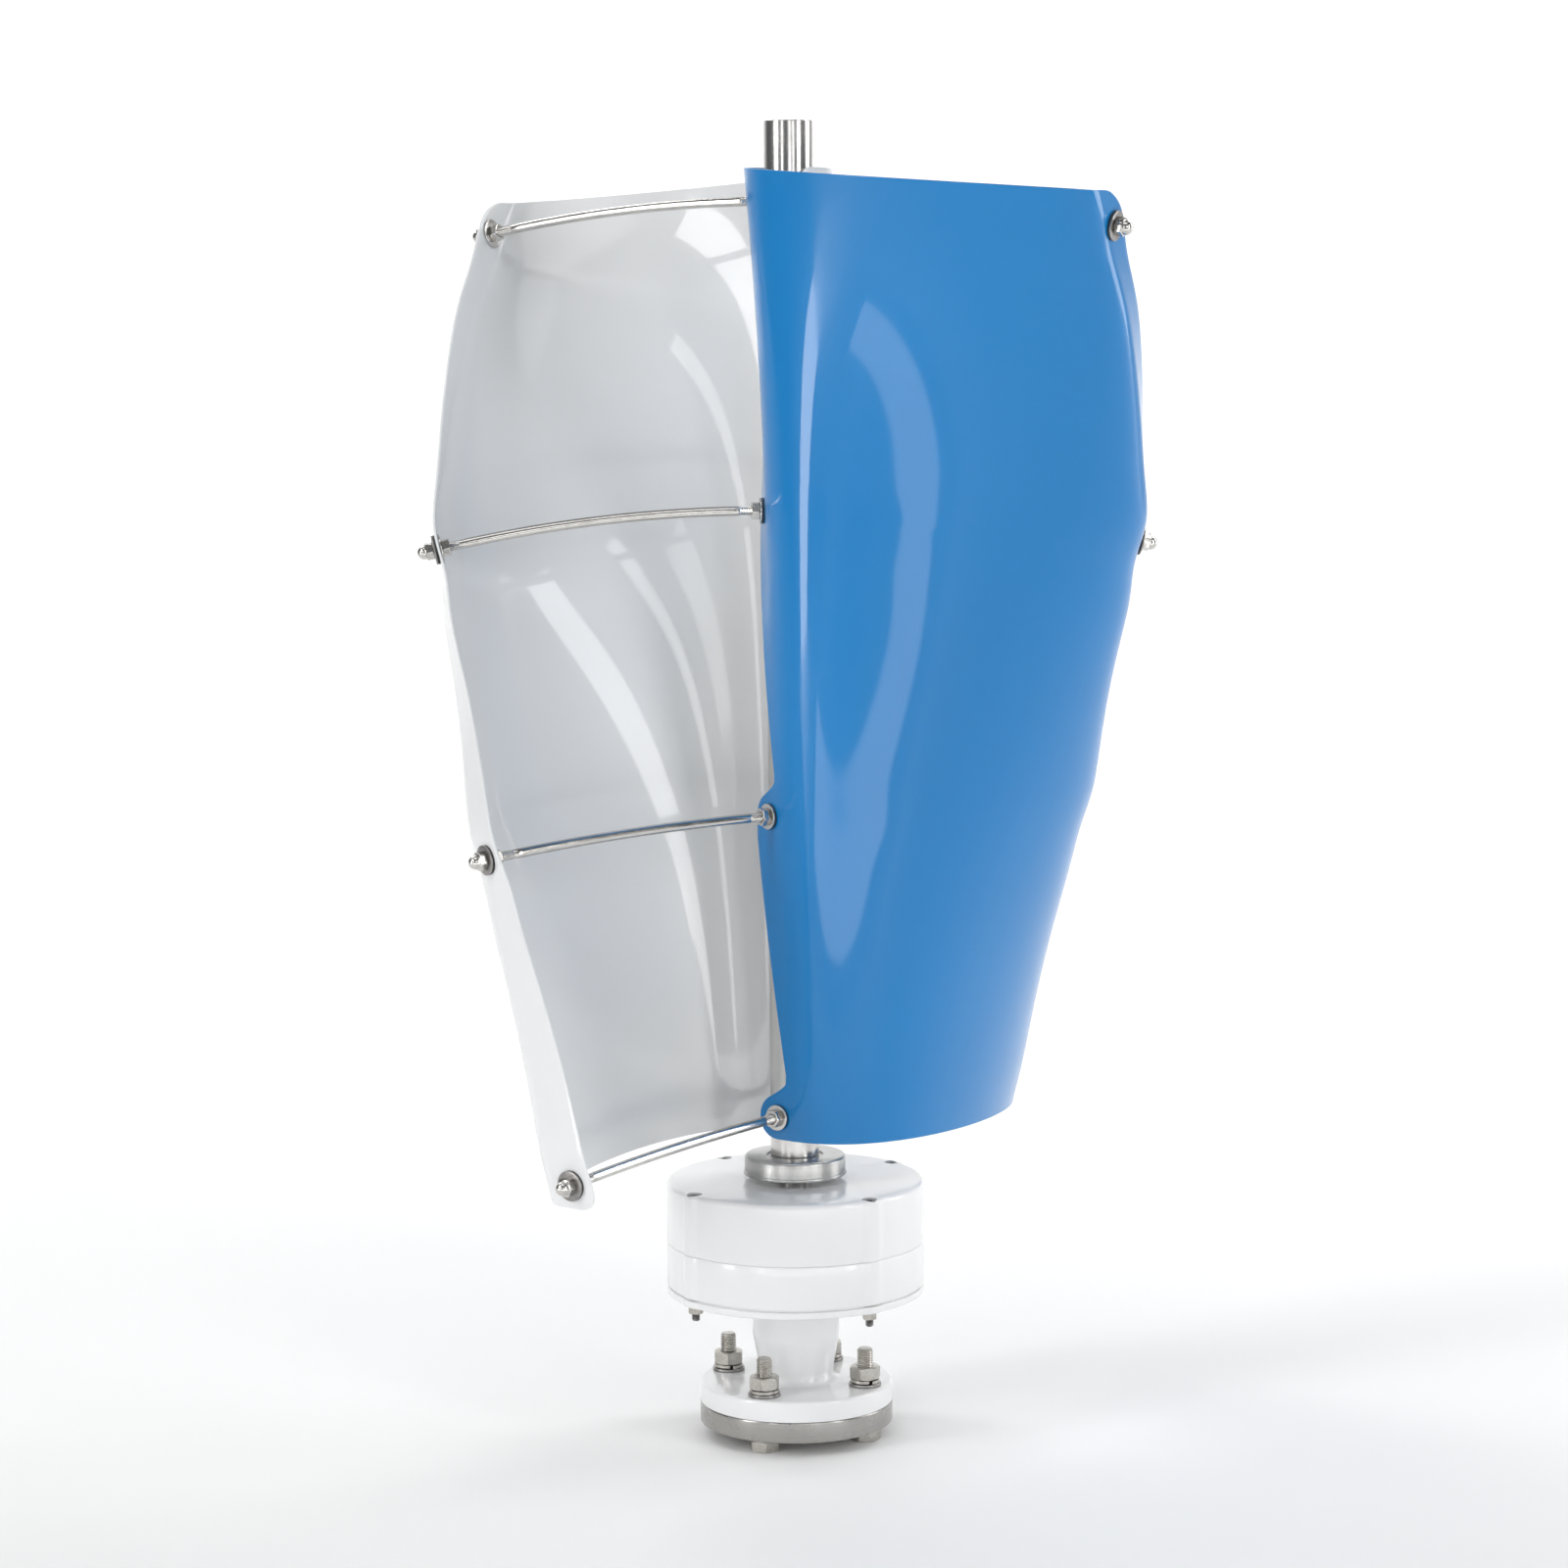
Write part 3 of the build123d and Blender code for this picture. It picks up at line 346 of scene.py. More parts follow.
copperWire = metalFinish("copperWire", {
    "colour": (0.70, 0.32, 0.16), "deeper": (0.52, 0.22, 0.11), "marks": latheMarks, "markScale": 1200.0,
    "grime": 0.2, "grimeScale": 120.0, "grimeColour": (0.2, 0.09, 0.04),
    "wear": 1.0, "brightEdge": (0.85, 0.45, 0.25), "roughness": (0.22, 0.34), "smudgeScale": 90.0,
    "bump": 0.4, "bumpDepth": 0.0003,
})

blackRubber = softFinish("blackRubber", {
    "colour": (0.018, 0.018, 0.018), "deeper": (0.030, 0.030, 0.030), "grainScale": 900.0,
    "shine": 0.4, "dust": 0.25, "roughness": (0.50, 0.68), "bump": 0.3,
})

castResin = softFinish("castResin", {
    "colour": (0.05, 0.14, 0.07), "deeper": (0.035, 0.10, 0.05), "grainScale": 260.0,
    "shine": 0.5, "dust": 0.1, "roughness": (0.25, 0.40), "bump": 0.1,
})
print("finishes made:", len(bpy.data.materials))


# shaping helpers

def roundedOutline(points, closed, arcSteps=4):
    # points are (radius, height, rounding); a rounded corner becomes an arc
    outline = []
    for index, (radius, height, rounding) in enumerate(points):
        corner = Vector((radius, height))
        if rounding == 0 or (not closed and index in (0, len(points) - 1)):
            outline.append(corner)
            continue
        back = (Vector(points[index - 1][:2]) - corner).normalized()
        on = (Vector(points[(index + 1) % len(points)][:2]) - corner).normalized()
        half = back.angle(on) / 2
        centre = corner + (back + on).normalized() * rounding / sin(half)
        start = corner + back * rounding / tan(half) - centre
        end = corner + on * rounding / tan(half) - centre
        turn = pi - 2 * half
        for step in range(arcSteps + 1):
            share = step / arcSteps
            outline.append(centre + (start * sin((1 - share) * turn) + end * sin(share * turn)) / sin(turn))
    return outline


def turned(points, steps=48, closed=True, arcSteps=4):
    # an outline spun about Z; an open one starts and ends on the axis
    shape = bmesh.new()
    verts = [shape.verts.new((p.x, 0, p.y)) for p in roundedOutline(points, closed, arcSteps)]
    ends = verts[1:] + verts[:1] if closed else verts[1:]
    edges = [shape.edges.new(pair) for pair in zip(verts, ends)]
    bmesh.ops.spin(shape, geom=verts + edges, axis=(0, 0, 1), angle=fullTurn, steps=steps, use_merge=True)
    bmesh.ops.remove_doubles(shape, verts=shape.verts, dist=cleanUpDistance)
    bmesh.ops.recalc_face_normals(shape, faces=shape.faces)
    return shape


def cutPlane(shape, point, outward):
    # saws the shape off at a plane and closes the cut
    everything = shape.verts[:] + shape.edges[:] + shape.faces[:]
    sawn = bmesh.ops.bisect_plane(
        shape, geom=everything, dist=cleanUpDistance / 10, plane_co=point, plane_no=outward, clear_outer=True
    )
    rim = [part for part in sawn["geom_cut"] if isinstance(part, bmesh.types.BMEdge) and part.is_boundary]
    bmesh.ops.holes_fill(shape, edges=rim)


def cutFlats(shape, width):
    # six flats on a turned bar
    for side in range(6):
        outward = Vector((cos(radians(60 * side)), sin(radians(60 * side)), 0))
        cutPlane(shape, outward * width / 2, outward)
    bmesh.ops.recalc_face_normals(shape, faces=shape.faces)
    return shape


# a turned corner is a shade under the full hexagon, and the flat under half the width
hexCorner = 0.985
hexFlat = 0.96


def hexNut(width, height, bore, chamferBoth=True):
    # a bar with turned-down corners, cut by six flats
    corner = width / sqrt(3) * hexCorner
    flat = width / 2 * hexFlat
    drop = (corner - flat) * 0.6
    bottom = drop if chamferBoth else 0.2
    points = [
        (bore, 0.6, 0), (bore + 0.6, 0, 0), (flat, 0, 0), (corner, bottom, 0.1), (corner, height - drop, 0.1),
        (flat, height, 0), (bore + 0.6, height, 0), (bore, height - 0.6, 0),
    ]
    return cutFlats(turned(points), width)


def flatRing(bore, radius, thickness, rounding=0.25, steps=48):
    points = [
        (bore, 0, rounding), (radius, 0, rounding),
        (radius, thickness, rounding), (bore, thickness, rounding),
    ]
    return turned(points, steps, arcSteps=2)


def threadedBar(radius, pitch, bottom, top, steps=32, tipChamfer=1.2):
    # a helical thread: a saw-tooth line spun once while it climbs one pitch, then sawn square
    shape = bmesh.new()
    depth = pitch * 0.42
    verts = []
    height = bottom - pitch
    while height < top + pitch:
        verts.append(shape.verts.new((radius, 0, height)))
        verts.append(shape.verts.new((radius - depth, 0, height + pitch / 2)))
        height += pitch
    edges = [shape.edges.new(pair) for pair in zip(verts, verts[1:])]
    bmesh.ops.spin(
        shape, geom=verts + edges, axis=(0, 0, 1), angle=fullTurn, steps=steps, dvec=(0, 0, pitch / steps)
    )
    bmesh.ops.remove_doubles(shape, verts=shape.verts, dist=cleanUpDistance)
    cutPlane(shape, Vector((0, 0, bottom)), Vector((0, 0, -1)))
    cutPlane(shape, Vector((0, 0, top)), Vector((0, 0, 1)))
    for vert in shape.verts:
        reach = hypot(vert.co.x, vert.co.y)
        limit = radius - max(0.0, vert.co.z - (top - tipChamfer))
        if reach > limit:
            vert.co.xy *= limit / reach
    bmesh.ops.recalc_face_normals(shape, faces=shape.faces)
    return shape


def moved(shape, height):
    bmesh.ops.translate(shape, verts=shape.verts, vec=(0, 0, height))
    return shape


def joined(*shapes):
    # several shapes in one mesh
    whole = shapes[0]
    for shape in shapes[1:]:
        carrier = bpy.data.meshes.new("carrier")
        shape.to_mesh(carrier)
        shape.free()
        whole.from_mesh(carrier)
        bpy.data.meshes.remove(carrier)
    return whole


def stamped(shape, places):
    # one copy of the shape at each place
    whole = bmesh.new()
    master = bpy.data.meshes.new("master")
    shape.to_mesh(master)
    shape.free()
    for place in places:
        copy = master.copy()
        copy.transform(place)
        whole.from_mesh(copy)
        bpy.data.meshes.remove(copy)
    bpy.data.meshes.remove(master)
    return whole


def finishPiece(shape, name, body, nodes, material, sharpAngle=32.0):
    bmesh.ops.scale(shape, verts=shape.verts, vec=(mm, mm, mm))
    for edge in shape.edges:
        edge.smooth = edge.calc_face_angle(0.0) < radians(sharpAngle)
    for face in shape.faces:
        face.smooth = True
    mesh = bpy.data.meshes.new(name)
    shape.to_mesh(mesh)
    shape.free()
    piece = bpy.data.objects.new(name, mesh)
    bpy.context.scene.collection.objects.link(piece)
    mesh.materials.append(material)
    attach(piece, body)
    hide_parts(*nodes)
    print("piece:", name, len(mesh.polygons), "faces")
    return piece


def cutAway(shape, cutter):
    # one shape minus another
    made = []
    for label, source in (("body", shape), ("cutter", cutter)):
        mesh = bpy.data.meshes.new(label)
        source.to_mesh(mesh)
        source.free()
        made.append(bpy.data.objects.new(label, mesh))
        bpy.context.scene.collection.objects.link(made[-1])
    cut = made[0].modifiers.new("cut", "BOOLEAN")
    cut.operation = "DIFFERENCE"
    cut.solver = "EXACT"
    cut.object = made[1]
    bpy.context.view_layer.update()
    result = bpy.data.meshes.new_from_object(made[0].evaluated_get(bpy.context.evaluated_depsgraph_get()))
    whole = bmesh.new()
    whole.from_mesh(result)
    for leftover in made:
        mesh = leftover.data
        bpy.data.objects.remove(leftover)
        bpy.data.meshes.remove(mesh)
    bpy.data.meshes.remove(result)
    return whole


def ringPlaces(radius, count, start, height=0.0):
    # places round the axis
    places = []
    for index in range(count):
        turn = Matrix.Rotation(radians(start + 360 * index / count), 4, "Z")
        places.append(turn @ Matrix.Translation((radius, 0, height)))
    return places


# tie rods and where the fasteners sit on them

rods = {
    "topHeight": 755.0, "pitch": 187.0, "levels": (0, 1, 2, 3), "slopes": (10.0, 12.0, 6.0, 4.0),
    "radius": 3.0, "innerEnd": 12.0, "straightStart": 26.0, "straightEnd": 10.0, "tail": 9.05,
    "threadPitch": 1.0, "threadDepth": 0.42, "innerThread": 21.0, "outerThread": 27.0, "steps": 28,
}
twist = {"top": -29.0, "perBay": 39.0, "easing": 3.9}
blade = {
    "inner": 16.05, "tip": 214.5, "thickness": 1.5, "innerHandle": 102.0, "tipHandle": 60.0, "flat": 9.5,
    "topMargin": 20.0, "bottomMargin": 14.0, "ear": 14.0, "outerEar": 15.0, "corner": 13.0,
    "leanReach": 26.0, "bayPinch": (2.0, 5.0, 2.5),
    "waists": (14.0, -7.0, -7.5), "notch": 12.0, "edgeRounding": 0.3,
    "innerColumns": 6, "curveColumns": 56, "outerColumns": 6, "rowStep": 6.0, "fineStep": 1.2,
    "fineReach": 27.0,
}


def rodHeight(level):
    return rods["topHeight"] - rods["pitch"] * level


def bladeAngle(level):
    return twist["top"] + twist["perBay"] * level - twist["easing"] * level**2


def rodDrop(slope):
    run = blade["tip"] - rods["straightEnd"] - rods["straightStart"]
    return run * tan(radians(slope / 2)) + rods["straightEnd"] * tan(radians(slope))


def placeOn(origin, along):
    # Z points along, Y stays as near up as it can
    side = Vector((0, 0, 1)).cross(along).normalized()
    up = along.cross(side)
    place = Matrix((side, up, along)).transposed().to_4x4()
    place.translation = origin
    return place


def outDirection(level, side):
    angle = radians(bladeAngle(level) + 180 * side)
    return Vector((cos(angle), sin(angle), 0))


def shaftPlace(level, side):
    # on the axis, Z pointing out along the rod
    return placeOn(Vector((0, 0, rodHeight(level))), outDirection(level, side))


def tipPlace(level, side):
    # at the middle of the sheet, Z pointing out along the drooping rod end
    slope = rods["slopes"][level]
    out = outDirection(level, side)
    origin = out * blade["tip"] + Vector((0, 0, rodHeight(level) - rodDrop(slope)))
    return placeOn(origin, out * cos(radians(slope)) - Vector((0, 0, sin(radians(slope)))))


def rodPoint(slope, distance):
    # (reach, fall, slope in radians) along the bent rod: straight, arc, straight
    first = rods["straightStart"] - rods["innerEnd"]
    run = blade["tip"] - rods["straightEnd"] - rods["straightStart"]
    bend = run / sin(radians(slope))
    arc = bend * radians(slope)
    if distance <= first:
        return rods["innerEnd"] + distance, 0.0, 0.0
    if distance <= first + arc:
        turn = (distance - first) / bend
        return rods["straightStart"] + bend * sin(turn), bend * (1 - cos(turn)), turn
    rest = distance - first - arc
    turn = radians(slope)
    reach = rods["straightStart"] + run + rest * cos(turn)
    return reach, bend * (1 - cos(turn)) + rest * sin(turn), turn


def rodLength(slope):
    run = blade["tip"] - rods["straightEnd"] - rods["straightStart"]
    arc = run / sin(radians(slope)) * radians(slope)
    straight = rods["straightEnd"] / cos(radians(slope)) + rods["tail"]
    return rods["straightStart"] - rods["innerEnd"] + arc + straight


def buildRod(level, side):
    # turned straight with its threads, then bent
    slope = rods["slopes"][level]
    length = rodLength(slope)
    pitch = rods["threadPitch"]
    points = [(0.0, 0.0, 0), (rods["radius"] - 0.5, 0.0, 0)]
    distance = 0.5
    while distance < length - 0.5:
        points.append((rods["radius"], distance, 0))
        threaded = distance < rods["innerThread"] or distance > length - rods["outerThread"]
        distance += pitch / 4 if threaded else 5.0
    points += [(rods["radius"] - 0.5, length, 0), (0.0, length, 0)]
    shape = turned(points, rods["steps"], closed=False)
    place = shaftPlace(level, side)
    for vert in shape.verts:
        x, y, along = vert.co
        reach = hypot(x, y)
        fromEnd = min(rods["innerThread"] - along, along - (length - rods["outerThread"]), key=lambda d: -d)
        if fromEnd > 0 and reach > rods["radius"] - 0.1:
            phase = (along / pitch + atan2(y, x) / fullTurn) % 1.0
            cut = rods["threadDepth"] * (1 - abs(2 * phase - 1)) * min(1.0, fromEnd / 2)
            x, y = x * (1 - cut / reach), y * (1 - cut / reach)
        out, fall, turn = rodPoint(slope, along)
        vert.co = place @ Vector((x, y * cos(turn) - fall, out + y * sin(turn)))
    bmesh.ops.recalc_face_normals(shape, faces=shape.faces)
    colour = ("blue", "white")[side]
    name = f"{colour}_rod_{level + 1}"
    return finishPiece(shape, name, "rotor", [f"{colour}_tie_rod_{level + 1}"], stainless)


for rodLevel in rods["levels"]:
    for bladeSide in (0, 1):
        buildRod(rodLevel, bladeSide)


# blades

def betweenRods(values, level):
    place = min(max(level, 0.0), 3.0)
    below = min(int(place), 2)
    return values[below] * (1 - place + below) + values[below + 1] * (place - below)


def tipRadius(level):
    # the sheet leans to stay square to each drooping rod end and is drawn in between the rods
    total = blade["tip"]
    if 0 <= level < 3:
        total -= blade["bayPinch"][int(level)] * sin(pi * level) ** 2
    for rodLevel, slope in enumerate(rods["slopes"]):
        rise = rods["pitch"] * (rodLevel - level)
        total += tan(radians(slope)) * rise * exp(-((rise / blade["leanReach"]) ** 2))
    return total


def cornerTrim(level):
    # how much a quarter-round corner takes off the edge at this height
    above = (level * rods["pitch"]) + blade["topMargin"]
    below = (3 - level) * rods["pitch"] + blade["bottomMargin"]
    near = min(above, below)
    if near >= blade["corner"]:
        return 0.0
    return blade["corner"] - sqrt(max(0.0, blade["corner"] ** 2 - (blade["corner"] - near) ** 2))


def innerEdge(level):
    # full under each ear, running back to a waist, then a notch round the next ear
    bay = min(max(int(level), 0), 2)
    down = (level - bay) * rods["pitch"]
    toNext = rods["pitch"] - down
    ear, waist = blade["ear"], blade["waists"][bay]
    if level <= 0 or toNext <= 0 or waist == ear:
        return ear
    share = min(max((down - ear) / (rods["pitch"] - 2.6 * ear), 0.0), 1.0)
    edge = ear + (waist - ear) * share
    notch = blade["notch"]
    if toNext < notch:
        return sqrt(ear**2 - toNext**2)
    if toNext < 2 * notch:
        # eased from the ear's circle back to the waist
        share = (toNext - notch) / notch
        start = sqrt(ear**2 - notch**2)
        slope = -notch / start * notch
        rise = share * (1 - share) ** 2 * slope
        return start + (edge - start) * (3 - 2 * share) * share**2 + rise
    return edge


def sheetPoint(column, level, side):
    inner, curve = blade["innerColumns"], blade["curveColumns"]
    flat, tip = -blade["flat"], tipRadius(level)
    trim = cornerTrim(level)
    innerLimit, outerLimit = innerEdge(level) - trim, blade["outerEar"] - trim
    if column <= inner:
        share = column / inner
        across, along = -blade["inner"], innerLimit + (flat - innerLimit) * share
    elif column <= inner + curve:
        t = (column - inner) / curve
        near, far = (1 - t) ** 3 + 3 * (1 - t) ** 2 * t, t**3 + 3 * (1 - t) * t**2
        across = -blade["inner"] * near + tip * far
        along = flat * ((1 - t) ** 3 + t**3)
        along += -3 * (1 - t) * t * ((1 - t) * blade["innerHandle"] + t * blade["tipHandle"])
    else:
        share = (column - inner - curve) / blade["outerColumns"]
        across, along = tip, flat + (outerLimit - flat) * share
    drops = [rodDrop(slope) for slope in rods["slopes"]]
    fall = betweenRods(drops, level) / (blade["tip"] + blade["inner"])
    angle = radians(bladeAngle(level) + 180 * side)
    return Vector((
        across * cos(angle) - along * sin(angle),
        across * sin(angle) + along * cos(angle),
        rodHeight(level) - fall * (across + blade["inner"]),
    ))


def bladeRows():
    # heights of the rows, closer together at the rods and the ends
    bottom = 3 * rods["pitch"] + blade["bottomMargin"]
    rows, depth = [], -blade["topMargin"]
    while depth < bottom - 0.1:
        rows.append(depth / rods["pitch"])
        near = min(abs(depth - rods["pitch"] * level) for level in rods["levels"])
        ends = min(depth + blade["topMargin"], bottom - depth)
        step = blade["fineStep"] if near < blade["fineReach"] else blade["rowStep"]
        depth += 0.35 if ends < 1.5 else step
    return rows + [bottom / rods["pitch"]]


def buildBlade(side):
    rows = bladeRows()
    columns = blade["innerColumns"] + blade["curveColumns"] + blade["outerColumns"]
    shape = bmesh.new()
    bmesh.ops.create_grid(shape, x_segments=columns, y_segments=len(rows) - 1, size=1.0)
    for vert in shape.verts:
        column = round((vert.co.x + 1) / 2 * columns)
        row = round((vert.co.y + 1) / 2 * (len(rows) - 1))
        vert.co = sheetPoint(column, rows[row], side)
    bmesh.ops.recalc_face_normals(shape, faces=shape.faces)
    shape.normal_update()
    for vert, normal in [(vert, vert.normal.copy()) for vert in shape.verts]:
        vert.co += normal * blade["thickness"] / 2
    bmesh.ops.solidify(shape, geom=shape.faces[:], thickness=blade["thickness"])
    bmesh.ops.recalc_face_normals(shape, faces=shape.faces)
    corners = [edge for edge in shape.edges if edge.calc_face_angle(0.0) > radians(60)]
    bmesh.ops.bevel(
        shape, geom=corners, offset=blade["edgeRounding"],
        affect="EDGES", segments=2, profile=0.5, material=-1
    )
    colour = ("blue", "white")[side]
    finish = (bluePaint, whitePaint)[side]
    node, slot = f"{colour}_blade", f"{colour}_paint"
    return finishPiece(shape, f"{colour}_scoop", "rotor", [node], finish, 50.0)


for bladeSide in (0, 1):
    buildBlade(bladeSide)


# rod fasteners

fasteners = {
    "nutWidth": 10.0, "nutHeight": 5.0, "bore": 3.0, "steelRadius": 9.0, "innerSteelRadius": 8.0,
    "rubberRadius": 9.0, "rubberThickness": 1.3, "steelThickness": 1.0, "capHeight": 10.0, "domeRadius": 4.4,
    "tipInnerSeat": 1.15, "sheetOverlap": 0.35, "nutTurns": (0.0, 17.0, 8.0, 26.0, 4.0, 21.0, 12.0, 29.0),
}
rodSpots = [(level, side) for level in rods["levels"] for side in (0, 1)]
shaftSpots = [shaftPlace(level, side) for level, side in rodSpots]
tipSpots = [tipPlace(level, side) for level, side in rodSpots]


def spun(places, height, flip=False):
    # each nut stops at its own angle
    results = []
    for place, angle in zip(places, fasteners["nutTurns"]):
        local = Matrix.Translation((0, 0, height)) @ Matrix.Rotation(radians(angle), 4, "Z")
        if flip:
            local = local @ Matrix.Rotation(pi, 4, "X")
        results.append(place @ local)
    return results


def rubberPad(radius, thickness):
    # a soft washer, squeezed so that its rim swells
    points = [
        (fasteners["bore"], 0, 0.1), (radius - 0.3, 0, 0.2), (radius, thickness / 2, 0.5),
        (radius - 0.3, thickness, 0.2), (fasteners["bore"], thickness, 0.1),
    ]
    return turned(points, 40, arcSteps=2)


def capNut():
    # hexagon base, small neck and dome
    corner = fasteners["nutWidth"] / sqrt(3) * hexCorner
    base, dome, top = fasteners["nutHeight"], fasteners["domeRadius"], fasteners["capHeight"]
    points = [
        (0, 0, 0), (fasteners["nutWidth"] / 2 * 0.95, 0, 0), (corner, 0.6, 0.1), (corner, base - 0.5, 0.1),
        (fasteners["nutWidth"] / 2 * 0.94, base, 0.1), (dome, base + 0.15, 0.1),
        (dome, top, dome - 0.02), (0, top, 0),
    ]
    return cutFlats(turned(points, 48, closed=False, arcSteps=8), fasteners["nutWidth"])


def buildRodFasteners():
    seat = blade["inner"] + blade["thickness"] / 2
    rubberTop = seat + fasteners["rubberThickness"]
    steelTop = rubberTop + fasteners["steelThickness"]
    over = fasteners["sheetOverlap"]
    width, high, bore = fasteners["nutWidth"], fasteners["nutHeight"], fasteners["bore"]
    small, large = fasteners["innerSteelRadius"], fasteners["steelRadius"]
    thin, pad = fasteners["steelThickness"], fasteners["rubberThickness"] + over
    inside, outside = -fasteners["tipInnerSeat"], blade["thickness"] / 2
    padTop = outside + fasteners["rubberThickness"]
    rows = [
        ("shaft_rubbers", "shaft_rubber_washers", rubberPad(small, pad),
         spun(shaftSpots, seat - over), blackRubber),
        ("shaft_washers", "shaft_steel_washers", flatRing(bore, small, thin),
         spun(shaftSpots, rubberTop), stainless),
        ("shaft_hex_nuts", "shaft_nuts", hexNut(width, high, bore), spun(shaftSpots, steelTop), stainless),
        ("tip_inside_washers", "tip_inner_washers", flatRing(bore, large, thin),
         spun(tipSpots, inside, flip=True), stainless),
        ("tip_inside_nuts", "tip_inner_nuts", hexNut(width, high, bore),
         spun(tipSpots, inside - thin, flip=True), stainless),
        ("tip_rubbers", "tip_rubber_washers", rubberPad(fasteners["rubberRadius"], pad),
         spun(tipSpots, outside - over), blackRubber),
        # outer tip washers get the steel with painted shade, darkened for the shade under the cap nuts
        ("tip_outside_washers", "tip_outer_washers", flatRing(bore, large, thin), spun(tipSpots, padTop),
         washerSteelPaintedShade),
        ("tip_cap_nuts", "cap_nuts", capNut(), spun(tipSpots, padTop + thin), stainless),
    ]
    for name, node, shape, spots, finish in rows:
        finishPiece(stamped(shape, spots), name, "rotor", [node], finish)


buildRodFasteners()


# rotor shaft and hub

shaft = {"radius": 15.0, "wall": 3.0, "bottom": 160.5, "top": 803.0, "rounding": 0.6, "plug": 4.0}
hub = {
    "radius": 32.0, "bottom": 156.5, "top": 168.5, "edge": 2.0, "lipHeight": 1.8, "lipStep": 0.6,
    "recessRadius": 17.6, "recessDepth": 1.2, "bore": 10.0, "screwRadius": 3.1, "screwTurns": (45.0, 135.0),
}


def buildShaft():
    outer, inner, soft = shaft["radius"], shaft["radius"] - shaft["wall"], shaft["rounding"]
    points = [
        (inner, shaft["bottom"], 0), (outer, shaft["bottom"], 0), (outer, shaft["top"], soft),
        (inner, shaft["top"], soft),
    ]
    tube = turned(points, 96)
    finishPiece(tube, "shaft_tube", "rotor", ["rotor_shaft"], polishedStainless)
    low, high = shaft["top"] - shaft["plug"], shaft["top"] - 0.4
    points = [(0, low, 0), (inner, low, 0), (inner, high, 0.5), (0, high, 0)]
    plug = turned(points, 64, closed=False)
    finishPiece(plug, "shaft_end_plug", "rotor", ["shaft_plug"], polishedStainless)


def buildHub():
    rim, lip, top = hub["radius"] - hub["lipStep"], hub["bottom"] + hub["lipHeight"], hub["top"]
    floor = top - hub["recessDepth"]
    seat = shaft["bottom"]
    points = [
        (hub["bore"], hub["bottom"], 0), (hub["radius"], hub["bottom"], 0.4), (hub["radius"], lip, 0.3),
        (rim, lip + 0.2, 0), (rim, top, hub["edge"]), (hub["recessRadius"], top, 0.4),
        (hub["recessRadius"] - 0.4, floor, 0), (shaft["radius"], floor, 0), (shaft["radius"], seat, 0),
        (hub["bore"], seat, 0),
    ]
    shape = turned(points, 128)
    drill = turned([(0, 0, 0), (hub["screwRadius"], 0, 0), (hub["screwRadius"], hub["radius"], 0),
                    (0, hub["radius"], 0)], 24, closed=False)
    middle = (hub["bottom"] + hub["top"]) / 2
    places = []
    for turn in hub["screwTurns"]:
        out = Vector((cos(radians(turn)), sin(radians(turn)), 0))
        places.append(placeOn(out * (shaft["radius"] + 3) + Vector((0, 0, middle)), out))
    shape = cutAway(shape, stamped(drill, places))
    finishPiece(shape, "shaft_hub", "rotor", ["hub"], turnedAluminium)


buildShaft()
buildHub()


# generator housing, base casting and mast flange

housing = {
    "radius": 80.0, "coverBottom": 82.5, "coverTop": 87.0, "seam": 115.0, "top": 153.0, "innerWall": 68.5,
    "groove": 1.2, "grooveDepth": 1.5, "seamChamfer": 0.7, "roofEdge": 3.0, "roof": 4.0,
    "bossRise": 1.5, "bossFlat": 2.6, "bossFade": 8.5, "bossCircle": 76.0, "bossStart": 36.0, "bossCount": 4,
    "fadeFrom": 70.0, "fadeTo": 79.0, "lipRadius": 15.0, "spigot": 71.9, "steps": 360,
    "counterbore": 4.75, "drillBelow": 5.0, "drillAbove": 10.0,
}
neck = {
    "flangeRadius": 60.0, "flangeBottom": 13.0, "flangeTop": 26.0, "flangeEdge": 2.0, "foot": 5.0,
    "lowRadius": 23.0, "taperBottom": 33.0, "taperTop": 54.0, "highRadius": 27.0,
    "bore": 19.0, "boreTop": 76.0,
    "bossTop": 109.0, "bossRadius": 26.0, "pocketRadius": 21.0, "pocketFloor": 97.0, "throatRadius": 15.0,
}
mastFlange = {"radius": 60.0, "bore": 24.4, "thickness": 13.0, "chamfer": 0.8}


def raiseBosses(shape, lowest):
    # swells the outer wall where the housing bolts pass
    for vert in shape.verts:
        reach = hypot(vert.co.x, vert.co.y)
        if reach < housing["fadeFrom"] or vert.co.z < lowest:
            continue
        angle = atan2(vert.co.y, vert.co.x) - radians(housing["bossStart"])
        quarter = fullTurn / housing["bossCount"]
        off = abs((angle + quarter / 2) % quarter - quarter / 2) * housing["radius"]
        fade = housing["bossFade"] - housing["bossFlat"]
        share = min(max((off - housing["bossFlat"]) / fade, 0.0), 1.0)
        weight = min(1.0, (reach - housing["fadeFrom"]) / (housing["fadeTo"] - housing["fadeFrom"]))
        rise = housing["bossRise"] * (1 - (3 - 2 * share) * share**2) * weight
        vert.co.xy *= (reach + rise) / reach
    return shape


